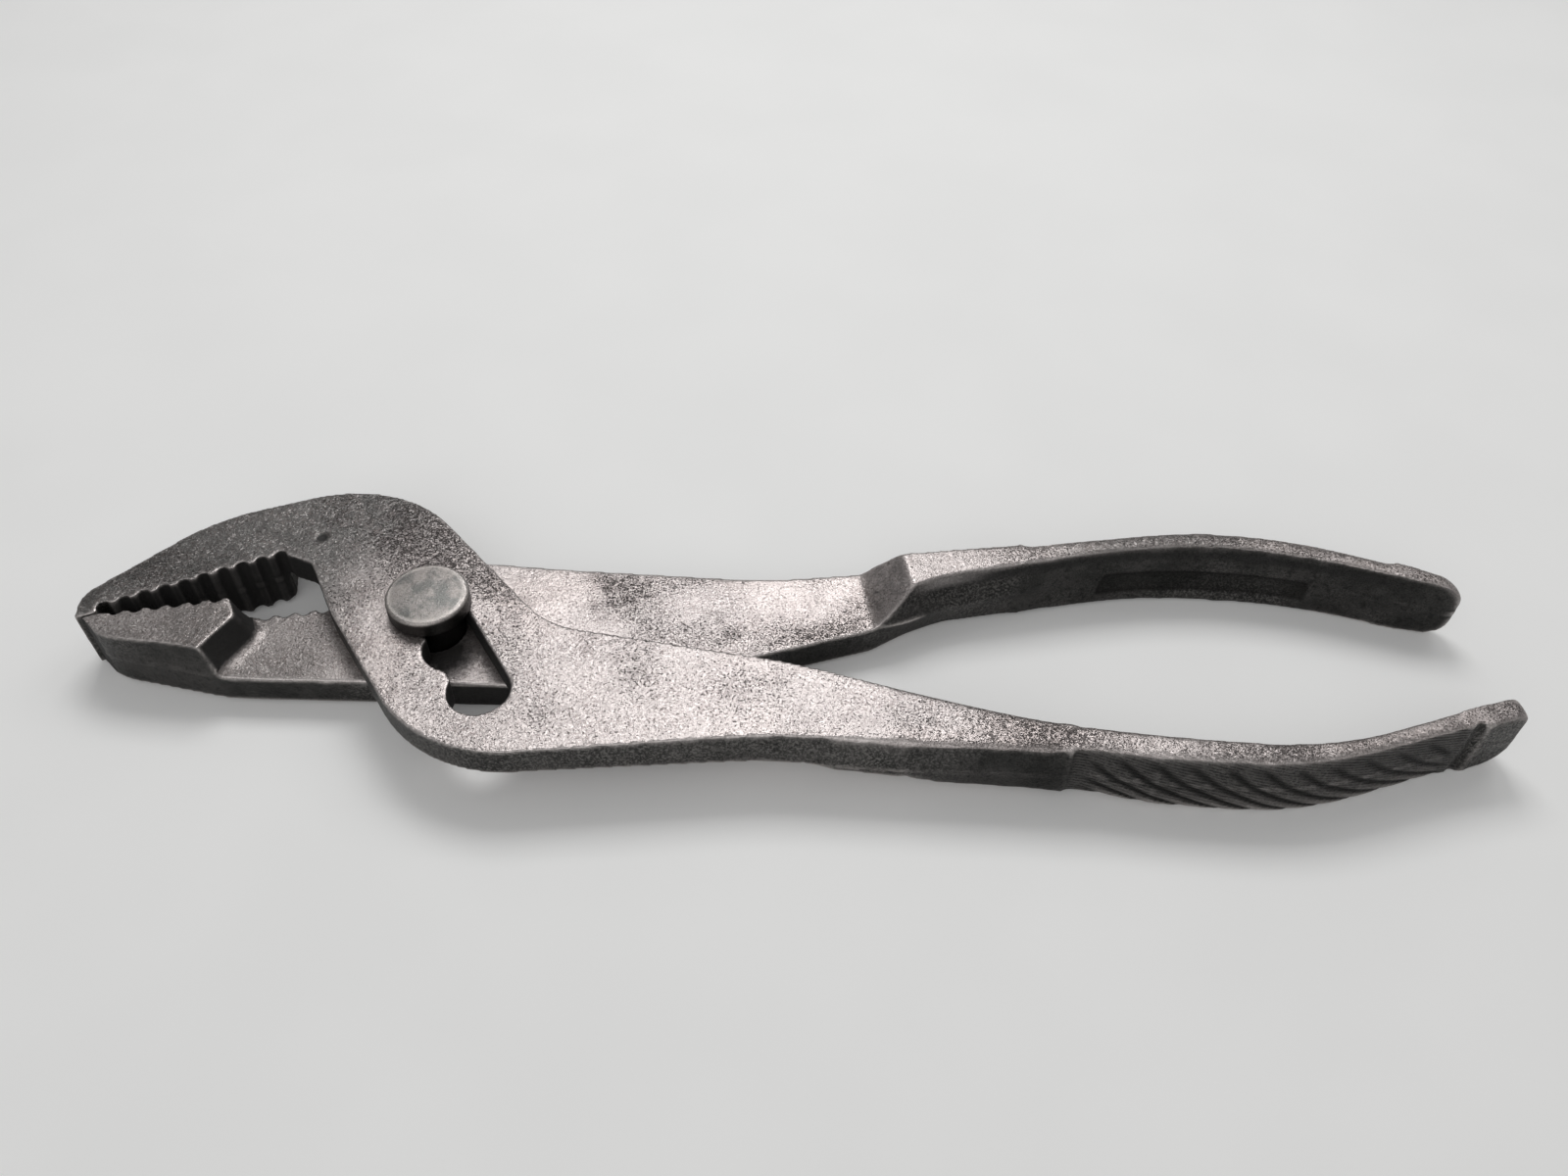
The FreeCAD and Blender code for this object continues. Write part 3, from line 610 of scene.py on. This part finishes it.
def grid_piece(name, points, soot_and_shade, node, material):
    """A mesh from a grid of points: rows go along the profile and columns around the axis.

    Points that fall together, such as the rows on the axis, become one. How dark the piece is
    painted at each height, as grime and painted shade, is given as pairs (height, share).
    """
    rows, columns, _ = points.shape
    ring = np.arange(rows * columns).reshape(rows, columns)
    after = np.roll(ring, -1, axis=1)
    quads = np.stack([ring[:-1], after[:-1], after[1:], ring[1:]], -1).reshape(-1, 4)
    mesh = bpy.data.meshes.new(name)
    mesh.from_pydata((points.reshape(-1, 3) * MM).tolist(), [], quads.tolist())
    work = bmesh.new()
    work.from_mesh(mesh)
    bmesh.ops.remove_doubles(work, verts=work.verts, dist=SAME_PLACE)
    bmesh.ops.recalc_face_normals(work, faces=work.faces)
    work.to_mesh(mesh)
    work.free()
    flat = np.zeros(len(mesh.vertices) * 3)
    mesh.vertices.foreach_get("co", flat)
    out = np.hypot(flat[0::3], flat[1::3]) / MM
    up = flat[2::3] / MM
    edge_start, edge_end = RIM_REACH
    rim = smooth(up, *RIM_LEVELS) * smooth(out, out.max() - edge_start, out.max() - edge_end)
    for mark, values in (("soot_and_shade", amount_at(up, soot_and_shade)), ("rim", rim)):
        layer = mesh.attributes.new(mark, "FLOAT", "POINT")
        layer.data.foreach_set("value", values.astype(np.float32))
    mesh.shade_smooth()
    mesh.materials.append(material)
    piece = bpy.data.objects.new(name, mesh)
    bpy.context.scene.collection.objects.link(piece)
    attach(piece, "pivot")
    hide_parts(node)
    return piece


def run_of(start, stop, count):
    """Points evenly along a straight line in the (radius, height) plane, without its last one."""
    share = np.linspace(0, 1, count, endpoint=False)[:, None]
    return np.array(start) * (1 - share) + np.array(stop) * share


def quarter_round(centre, radius, from_angle, to_angle, count):
    """Points along an arc in the (radius, height) plane: centre + radius * (cos a, sin a)."""
    angle = np.radians(np.linspace(from_angle, to_angle, count, endpoint=False))
    return np.array(centre) + radius * np.stack([np.cos(angle), np.sin(angle)], -1)


def pivot_bolt(material):
    """The pivot bolt: its profile turned about the axis, with a flat on the part in the slot.

    Radius and height follow a profile of straight runs and arcs, and each profile point is
    carried round the axis. On the flat the radius is the lesser of the round and
    flat / cos(angle from the flat's normal). The stud's radius dips along a helix.
    """
    head_radius = BOLT_HIGH[0]
    head_top = BOLT_HIGH[2]
    head_low = 12.0
    rim, dome, corner = 0.65, 0.35, 0.2
    shank, stud, stud_end = 4.7, 3.0, NUT_HIGH[2]
    chamfer = 0.3
    flat_reach = 2.9
    flat_direction = math.radians(-56.6 - 90)
    pitch, thread_depth = 1.0, 0.3
    inward = np.linspace(1, 0, 24)
    crown = np.stack([(head_radius - rim) * inward, head_top - dome * inward ** 2], -1)
    head_side = head_radius - corner
    rim_centre = (head_radius - rim, head_top - dome - rim)
    profile = np.concatenate([
        run_of((0, 0), (stud - chamfer, 0), 8),
        run_of((stud - chamfer, 0), (stud, chamfer), 4),
        run_of((stud, chamfer), (stud, stud_end), 60),
        run_of((stud, stud_end), (shank, stud_end), 4),
        run_of((shank, stud_end), (shank, head_low), 40),
        run_of((shank, head_low), (head_side, head_low), 6),
        quarter_round((head_side, head_low + corner), corner, -90, 0, 5),
        run_of((head_radius, head_low + corner), (head_radius, rim_centre[1]), 12),
        quarter_round(rim_centre, rim, 0, 86, 14),
        crown,
    ])
    turn = np.linspace(0, 2 * math.pi, 144, endpoint=False)
    radius = np.repeat(profile[:, :1], len(turn), 1)
    height = np.repeat(profile[:, 1:], len(turn), 1)
    flat = flat_reach / np.maximum(np.cos(turn - flat_direction), 0.05)
    in_slot = (height > LAP_LEVEL + 0.05) & (height < head_low) & (radius > stud)
    radius = np.where(in_slot, np.minimum(radius, flat), radius)
    thread = np.abs(((height / pitch - turn / (2 * math.pi)) % 1.0) * 2 - 1)
    threaded = (np.abs(radius - stud) < 0.01) & (height < stud_end) & (height > 0.25)
    radius = np.where(threaded, radius - thread_depth * thread, radius)
    points = np.stack([radius * np.cos(turn), radius * np.sin(turn), height], -1)
    # Painted shade: the shank down in the slot is fully dark, and the head's side nearly so.
    soot_and_shade = [(head_low, 1.0), (12.4, 0.85), (14.2, 0.78), (14.75, 0.0)]
    return grid_piece("pivot_bolt_turned", points, soot_and_shade, "pivot_bolt", material)


def pivot_nut(material):
    """The low nut: a hexagon with its corners turned off by a cone on both faces, and a round hole.

    Round the axis the hexagon's radius is half its flats over cos(angle from the nearest flat).
    The cone limits it near both faces, and the profile goes up outside and down the hole.
    """
    half_flats = NUT_HIGH[1]
    corner = half_flats / math.cos(math.radians(30))
    thick = NUT_HIGH[2]
    hole, chamfer = 3.02, 0.3
    turn = np.linspace(0, 2 * math.pi, 180, endpoint=False)
    from_flat = turn % (math.pi / 3) - math.pi / 6
    hexagon = half_flats / np.cos(from_flat)
    outside = np.linspace(0.0, thick, 24)
    level = np.concatenate([[0.0, 0.0], outside, [thick, thick, thick - chamfer, chamfer, 0.0]])
    limit = np.concatenate([
        [hole + chamfer, half_flats - 0.35],
        corner - 0.9 + np.minimum(outside, thick - outside) * 2.0,
        [half_flats - 0.35, hole + chamfer, hole, hole, hole + chamfer],
    ])
    radius = np.minimum(limit[:, None], hexagon[None, :])
    height = np.repeat(level[:, None], len(turn), 1)
    points = np.stack([radius * np.cos(turn), radius * np.sin(turn), height], -1)
    soot_and_shade = [(0.0, 0.1), (thick, 0.5)]
    return grid_piece("pivot_nut_faced", points, soot_and_shade, "pivot_nut", material)


# ---------------------------------------------------------------- finishes
RUBBED_DARK = (0.44, 0.39, 0.375)
RUBBED_LIGHT = (0.72, 0.65, 0.63)
RUBBED_GREY = (0.40, 0.375, 0.37)
# Dulled steel, and painted shade where the light falls off
DULLED_AND_SHADED_GREY = (0.13, 0.13, 0.125)
STAIN = (0.20, 0.175, 0.17)
DARK_DUST = (0.22, 0.185, 0.175)
LIGHT_DUST = (0.80, 0.74, 0.72)
PIT = (0.07, 0.062, 0.06)
# Forge skin, made darker as painted shade for the dark surroundings that the sides reflect
SKIN_DARK_AND_SHADED = (0.040, 0.040, 0.038)
SKIN_PALER_AND_SHADED = (0.085, 0.082, 0.079)
SKIN_GRAIN = (0.03, 0.03, 0.03)
SKIN_BLOTCH = (0.02, 0.02, 0.02)
SKIN_FLECK = (0.26, 0.25, 0.24)
HATCH_CREST = (0.20, 0.19, 0.185)
# Painted shade in the ribs' valleys
RIB_VALLEY_SHADE = (0.022, 0.022, 0.021)
PANEL_SKIN = (0.018, 0.018, 0.017)
# Grime, and painted shade on the walls and faces that lie in shadow
GRIME_AND_SHADE = (0.022, 0.021, 0.020)
# Grime and painted shade in hollow corners
CORNER_SHADE_AND_GRIME = (0.030, 0.028, 0.027)
WORN_EDGE = (0.72, 0.67, 0.65)

TURNED_DARK = (0.17, 0.172, 0.165)
TURNED_LIGHT = (0.40, 0.37, 0.35)
DARK_SCRATCH = (0.13, 0.125, 0.12)
LIGHT_SCRATCH = (0.50, 0.46, 0.44)
TURNED_PIT = (0.06, 0.057, 0.055)
TURNED_RIM = (0.66, 0.61, 0.58)
# Grime, and painted shade on the bolt under and round its head
TURNED_GRIME_AND_SHADE = (0.028, 0.027, 0.026)

FLOOR_DARK = (0.86, 0.86, 0.85)
FLOOR_LIGHT = (0.88, 0.88, 0.87)
WHITE = (1.0, 1.0, 1.0)


class Finish:
    """A node material put together one step at a time."""

    def __init__(self, name):
        self.material = bpy.data.materials.new(name)
        self.material.use_nodes = True
        self.tree = self.material.node_tree
        self.shader = self.tree.nodes["Principled BSDF"]
        self.place = self.tree.nodes.new("ShaderNodeTexCoord").outputs["Object"]

    def put(self, socket, value):
        """Links a socket, or sets a number or a colour, on one of a node's inputs."""
        if isinstance(value, bpy.types.NodeSocket):
            self.tree.links.new(value, socket)
        elif isinstance(value, tuple) and len(value) == 3 and len(socket.default_value) == 4:
            socket.default_value = (*value, 1.0)
        else:
            socket.default_value = value

    def speckle(self, size, detail=2.0, rough=0.55, stretch=None, twist=0.0):
        """Noise whose grains are about size mm across, from 0 to 1."""
        vector = self.place
        if stretch:
            mapping = self.tree.nodes.new("ShaderNodeMapping")
            mapping.inputs["Scale"].default_value = stretch
            mapping.inputs["Rotation"].default_value = (0, 0, twist)
            self.put(mapping.inputs["Vector"], vector)
            vector = mapping.outputs["Vector"]
        node = self.tree.nodes.new("ShaderNodeTexNoise")
        self.put(node.inputs["Vector"], vector)
        node.inputs["Scale"].default_value = 1.0 / (size * MM)
        node.inputs["Detail"].default_value = detail
        node.inputs["Roughness"].default_value = rough
        return node.outputs["Fac"]

    def mark(self, name):
        """One of the piece's own marks, 0 to 1 at each point."""
        node = self.tree.nodes.new("ShaderNodeAttribute")
        node.attribute_name = name
        return node.outputs["Fac"]

    def combine(self, operation, first, second):
        """One step of arithmetic, such as ADD or MAXIMUM, on two sockets or numbers."""
        node = self.tree.nodes.new("ShaderNodeMath")
        node.operation = operation
        self.put(node.inputs[0], first)
        self.put(node.inputs[1], second)
        return node.outputs["Value"]

    def span(self, value, low, high, out_low=0.0, out_high=1.0):
        """Maps low..high to out_low..out_high, held at the ends, along an S-curve."""
        node = self.tree.nodes.new("ShaderNodeMapRange")
        node.interpolation_type = "SMOOTHSTEP"
        self.put(node.inputs["Value"], value)
        bounds = {"From Min": low, "From Max": high, "To Min": out_low, "To Max": out_high}
        for name, bound in bounds.items():
            self.put(node.inputs[name], bound)
        return node.outputs["Result"]

    def blend(self, share, first, second):
        """The first colour where share is 0, and the second where it is 1."""
        node = self.tree.nodes.new("ShaderNodeMix")
        node.data_type = "RGBA"
        self.put(node.inputs["Factor"], share)
        self.put(node.inputs["A"], first)
        self.put(node.inputs["B"], second)
        return node.outputs["Result"]

    def bump(self, height, distance, strength=1.0, below=None):
        """Relief of up to distance mm, on top of the relief below."""
        node = self.tree.nodes.new("ShaderNodeBump")
        node.inputs["Strength"].default_value = strength
        node.inputs["Distance"].default_value = distance * MM
        self.put(node.inputs["Height"], height)
        if below is not None:
            self.put(node.inputs["Normal"], below)
        return node.outputs["Normal"]


class ForgedSteel(Finish):
    """Old forged steel: bright rubbed flats with fine dark pits, dark forge skin on the sides, made darker
    still as painted shade.
    """

    def __init__(self):
        super().__init__("forged_steel_rubbed_and_pitted")
        self.pitted = self.mark("pitted")
        self.worn = self.mark("worn")
        self.skin_and_shade_mark = self.mark("skin_and_shade")
        self.dust = self.speckle(0.40, 5.0, 0.75)
        self.grain = self.speckle(0.36, 5.0, 0.7)
        self.blotch = self.speckle(1.3, 5.0, 0.65)
        self.cloud = self.speckle(9.0, 3.0, 0.55)
        self.broad = self.speckle(26.0, 2.0, 0.5)
        self.hatch = self.combine("SINE", self.combine("MULTIPLY", self.mark("hatch"), 2 * math.pi), 0.0)
        self.pits = self.pits_of_all_sizes()
        # Grime together with painted shade: the marked walls, edges and hollows are darkened where shade
        # falls on them.
        soot_and_shade = self.combine("ADD", self.mark("soot_and_shade"), self.span(self.blotch, 0.3, 0.7, -0.12, 0.12))
        self.grime_and_shade = self.span(soot_and_shade, 0.1, 0.9)
        self.put(self.shader.inputs["Base Color"], self.colour())
        self.put(self.shader.inputs["Metallic"], self.span(self.grime_and_shade, 0.0, 1.0, 0.95, 0.3))
        self.put(self.shader.inputs["Roughness"], self.roughness())
        self.put(self.shader.inputs["Normal"], self.surface())

    def share(self, mark, amount):
        """One amount scaled by another."""
        return self.combine("MULTIPLY", mark, amount)

    def pits_one_size(self, noise, sound_bar, pitted_bar, edge, depth):
        """Pits where a noise passes a bar, which is lower in pitted steel; edge is how soft they are."""
        over = self.combine("SUBTRACT", noise, self.span(self.pitted, 0.0, 1.0, sound_bar, pitted_bar))
        return self.span(over, *edge, 0.0, depth)

    def pits_of_all_sizes(self):
        """Fine, middling and big pits together, mostly rubbed away where the steel is worn."""
        fine = self.pits_one_size(self.speckle(0.26, 3.0, 0.6), 0.62, 0.51, (-0.01, 0.08), 1.0)
        middling = self.pits_one_size(self.grain, 0.66, 0.54, (-0.01, 0.08), 1.0)
        big = self.pits_one_size(self.blotch, 0.68, 0.57, (0.0, 0.07), 0.8)
        deepest = self.combine("MAXIMUM", self.combine("MAXIMUM", fine, middling), big)
        return self.share(deepest, self.span(self.worn, 0.0, 1.0, 1.0, 0.25))

    def rubbed_flats(self):
        """Warm bright steel with greyer clouds, brown stains, and dark and light dust, under its pits."""
        colour = self.blend(self.span(self.cloud, 0.35, 0.65), RUBBED_DARK, RUBBED_LIGHT)
        colour = self.blend(self.span(self.broad, 0.4, 0.62, 0.0, 0.5), colour, RUBBED_GREY)
        # Greyed as dulled steel and as painted shade.
        colour = self.blend(self.mark("dulled_and_shaded"), colour, DULLED_AND_SHADED_GREY)
        stained = self.span(self.speckle(2.6, 5.0, 0.7), 0.46, 0.66)
        stained = self.share(stained, self.span(self.pitted, 0.0, 1.0, 0.15, 0.65))
        colour = self.blend(stained, colour, STAIN)
        dusty = self.span(self.speckle(6.0, 3.0, 0.6), 0.35, 0.65, 0.35, 0.85)
        dark_dust = self.share(dusty, self.span(self.dust, 0.50, 0.62))
        colour = self.blend(dark_dust, colour, DARK_DUST)
        light_dust = self.share(dusty, self.span(self.dust, 0.34, 0.48, 1.0, 0.0))
        colour = self.blend(light_dust, colour, LIGHT_DUST)
        return self.blend(self.share(self.pits, 0.9), colour, PIT)

    def forge_skin_and_shade(self):
        """Near-black skin, partly forge skin and partly painted shade, with light flecks, hatching on the
        grips, painted shade in the rib valleys and a dark panel.

        The painted shade in a rib valley darkens it by r(1.3 - 0.42r), where r is how deep the point lies
        in it.
        """
        colour = self.blend(self.span(self.cloud, 0.35, 0.65), SKIN_DARK_AND_SHADED, SKIN_PALER_AND_SHADED)
        colour = self.blend(self.span(self.grain, 0.50, 0.68, 0.0, 0.7), colour, SKIN_GRAIN)
        colour = self.blend(self.span(self.blotch, 0.52, 0.64, 0.0, 0.6), colour, SKIN_BLOTCH)
        flecked = self.span(self.broad, 0.40, 0.60, 0.1, 0.95)
        flecks = self.share(self.span(self.dust, 0.40, 0.54, 0.8, 0.0), flecked)
        colour = self.blend(flecks, colour, SKIN_FLECK)
        crests = self.share(self.mark("grip"), self.span(self.hatch, -0.2, 0.8, 0.0, 0.6))
        colour = self.blend(crests, colour, HATCH_CREST)
        ribs = self.mark("ribs")
        # Painted shade in the rib valleys.
        valley_shade = self.share(ribs, self.combine("SUBTRACT", 1.3, self.share(ribs, 0.42)))
        colour = self.blend(valley_shade, colour, RIB_VALLEY_SHADE)
        return self.blend(self.share(self.mark("panel"), 0.6), colour, PANEL_SKIN)

    def colour(self):
        """Flats or skin, the skin darkened partly as painted shade, then grime and painted shade, more of
        both in hollow corners, and bright worn edges on top.
        """
        skin_and_shade_edge = self.combine("ADD", self.skin_and_shade_mark, self.span(self.cloud, 0.3, 0.7, -0.15, 0.15))
        colour = self.blend(self.span(skin_and_shade_edge, 0.35, 0.65), self.rubbed_flats(), self.forge_skin_and_shade())
        colour = self.blend(self.share(self.grime_and_shade, 0.94), colour, GRIME_AND_SHADE)
        colour = self.blend(self.share(self.mark("corner_shade_and_grime"), 0.65), colour, CORNER_SHADE_AND_GRIME)
        bare = self.share(self.worn, self.span(self.grain, 0.3, 0.6, 0.95, 0.55))
        return self.blend(bare, colour, WORN_EDGE)

    def roughness(self):
        value = self.span(self.cloud, 0.3, 0.7, 0.33, 0.43)
        for mark, amount in ((self.grime_and_shade, 0.25), (self.pits, 0.25), (self.skin_and_shade_mark, 0.06)):
            value = self.combine("ADD", value, self.share(mark, amount))
        return self.combine("SUBTRACT", value, self.share(self.worn, 0.10))

    def surface(self):
        """Pits, fine grain, soft blotches and the grips' hatching, broken up here and there."""
        normal = self.bump(self.combine("SUBTRACT", 1.0, self.pits), 0.10, 0.9)
        normal = self.bump(self.speckle(0.30, 3.0, 0.6), 0.06, 1.0, normal)
        normal = self.bump(self.blotch, 0.16, 0.8, normal)
        whole = self.share(self.mark("grip"), self.span(self.speckle(2.0), 0.3, 0.6, 0.4, 1.0))
        return self.bump(self.share(self.hatch, whole), 0.09, 1.0, normal)


def turned_steel():
    """Satin turned steel, with fine scratches, a brighter rubbed rim, and grime with painted shade where
    marked.
    """
    f = Finish("turned_steel_satin")
    scratch = f.speckle(0.5, 3.0, 0.6, stretch=(1.0, 9.0, 1.0), twist=0.5)
    cross = f.speckle(0.5, 3.0, 0.6, stretch=(8.0, 1.0, 1.0), twist=-0.3)
    cloud = f.speckle(3.5, 3.0, 0.6)
    grain = f.speckle(0.25, 2.0, 0.6)
    colour = f.blend(f.span(cloud, 0.38, 0.62), TURNED_DARK, TURNED_LIGHT)
    colour = f.blend(f.span(scratch, 0.50, 0.66, 0.0, 0.6), colour, DARK_SCRATCH)
    colour = f.blend(f.span(cross, 0.34, 0.46, 0.5, 0.0), colour, LIGHT_SCRATCH)
    colour = f.blend(f.span(grain, 0.60, 0.7, 0.0, 0.7), colour, TURNED_PIT)
    rubbed = f.combine("MULTIPLY", f.mark("rim"), f.span(grain, 0.3, 0.6, 0.9, 0.4))
    colour = f.blend(rubbed, colour, TURNED_RIM)
    # Grime, and painted shade where the piece lies in shadow.
    soot_and_shade = f.combine("ADD", f.mark("soot_and_shade"), f.span(cloud, 0.3, 0.7, -0.1, 0.1))
    colour = f.blend(f.span(soot_and_shade, 0.1, 0.9, 0.0, 0.95), colour, TURNED_GRIME_AND_SHADE)
    f.put(f.shader.inputs["Base Color"], colour)
    f.shader.inputs["Metallic"].default_value = 0.95
    f.put(f.shader.inputs["Roughness"], f.span(cloud, 0.3, 0.7, 0.34, 0.46))
    surface = f.bump(scratch, 0.03, 0.9)
    surface = f.bump(cross, 0.025, 0.8, surface)
    surface = f.bump(grain, 0.03, 0.8, surface)
    surface = f.bump(f.speckle(1.6, 3.0, 0.6), 0.09, 0.8, surface)
    f.put(f.shader.inputs["Normal"], surface)
    return f.material


# ---------------------------------------------------------------- floor, light and camera
# Brightness where 1 is white: the floor's own glow as seen, and the room low down, overhead and as seen
FLOOR_GLOW = 0.08
ROOM_LOW = 0.10
ROOM_OVERHEAD = 0.34
ROOM_AS_SEEN = 0.72

CAMERA_PLACE = (0.0573, -0.1328, 0.1619)
CAMERA_TILT = math.radians(47.2)
CAMERA_ROLL = math.radians(1.5)
CAMERA_LENS = 28.35


def pale_floor():
    """A wide pale floor under the pliers, with only a faint mottle."""
    half = 1.5
    mesh = bpy.data.meshes.new("floor")
    corners = [(-half, -half, 0), (half, -half, 0), (half, half, 0), (-half, half, 0)]
    mesh.from_pydata(corners, [], [(0, 1, 2, 3)])
    f = Finish("pale_floor")
    tone = f.span(f.speckle(40.0), 0.3, 0.7)
    f.put(f.shader.inputs["Base Color"], f.blend(tone, FLOOR_DARK, FLOOR_LIGHT))
    f.shader.inputs["Roughness"].default_value = 0.7
    seen = f.tree.nodes.new("ShaderNodeLightPath").outputs["Is Camera Ray"]
    f.put(f.shader.inputs["Emission Color"], WHITE)
    f.put(f.shader.inputs["Emission Strength"], f.combine("MULTIPLY", seen, FLOOR_GLOW))
    mesh.materials.append(f.material)
    floor = bpy.data.objects.new("floor", mesh)
    bpy.context.scene.collection.objects.link(floor)


def soft_light(name, place, aim, width, height, level):
    """A soft light at place, turned towards aim, whose face looks level times as bright as white."""
    data = bpy.data.lights.new(name, "AREA")
    data.shape = "RECTANGLE"
    data.size = width
    data.size_y = height
    data.energy = level * math.pi * width * height
    light = bpy.data.objects.new(name, data)
    light.location = place
    light.rotation_euler = (Vector(aim) - Vector(place)).to_track_quat("-Z", "Y").to_euler()
    bpy.context.scene.collection.objects.link(light)


def studio():
    """A white room, dimmer towards the horizon: a soft key behind the pliers, a side light, a weak fill."""
    world = bpy.data.worlds.new("studio")
    world.use_nodes = True
    nodes, links = world.node_tree.nodes, world.node_tree.links
    upward = nodes.new("ShaderNodeSeparateXYZ")
    links.new(nodes.new("ShaderNodeTexCoord").outputs["Generated"], upward.inputs["Vector"])
    level = nodes.new("ShaderNodeMapRange")
    links.new(upward.outputs["Z"], level.inputs["Value"])
    bounds = {"From Min": 0.0, "From Max": 0.95, "To Min": ROOM_LOW, "To Max": ROOM_OVERHEAD}
    for name, bound in bounds.items():
        level.inputs[name].default_value = bound
    seen = nodes.new("ShaderNodeMix")
    links.new(nodes.new("ShaderNodeLightPath").outputs["Is Camera Ray"], seen.inputs["Factor"])
    links.new(level.outputs["Result"], seen.inputs["A"])
    seen.inputs["B"].default_value = ROOM_AS_SEEN
    links.new(seen.outputs["Result"], nodes["Background"].inputs["Strength"])
    nodes["Background"].inputs["Color"].default_value = (*WHITE, 1.0)
    bpy.context.scene.world = world
    soft_light("key", (0.017, 0.39, 0.574), (0.04, -0.01, 0.0), width=0.32, height=0.25, level=6.4)
    soft_light("side", (0.40, 0.33, 0.55), (0.13, -0.03, 0.0), width=0.30, height=0.30, level=1.6)
    soft_light("fill", (-0.15, -0.65, 0.60), (0.04, 0.0, 0.0), width=0.8, height=0.8, level=0.8)


def camera():
    """Looks along +Y and down on the pliers, with a slight roll."""
    ahead = Vector((0, math.cos(CAMERA_TILT), -math.sin(CAMERA_TILT)))
    up = Vector((0, math.sin(CAMERA_TILT), math.cos(CAMERA_TILT)))
    right = Vector((1, 0, 0))
    rolled_right = right * math.cos(CAMERA_ROLL) + up * math.sin(CAMERA_ROLL)
    rolled_up = up * math.cos(CAMERA_ROLL) - right * math.sin(CAMERA_ROLL)
    data = bpy.data.cameras.new("camera")
    data.sensor_width = 36.0
    data.lens = CAMERA_LENS
    data.clip_start = 0.01
    data.clip_end = 10.0
    eye = bpy.data.objects.new("camera", data)
    turn = Matrix((rolled_right, rolled_up, -ahead)).transposed()
    eye.matrix_world = Matrix.Translation(CAMERA_PLACE) @ turn.to_4x4()
    bpy.context.scene.collection.objects.link(eye)
    bpy.context.scene.camera = eye


# ---------------------------------------------------------------- put it together
bpy.context.scene.view_settings.view_transform = "Standard"
forged = ForgedSteel().material
turned = turned_steel()
slotted_half_forging(forged)
lower_half_forging(forged)
pivot_bolt(turned)
pivot_nut(turned)
pale_floor()
studio()
camera()
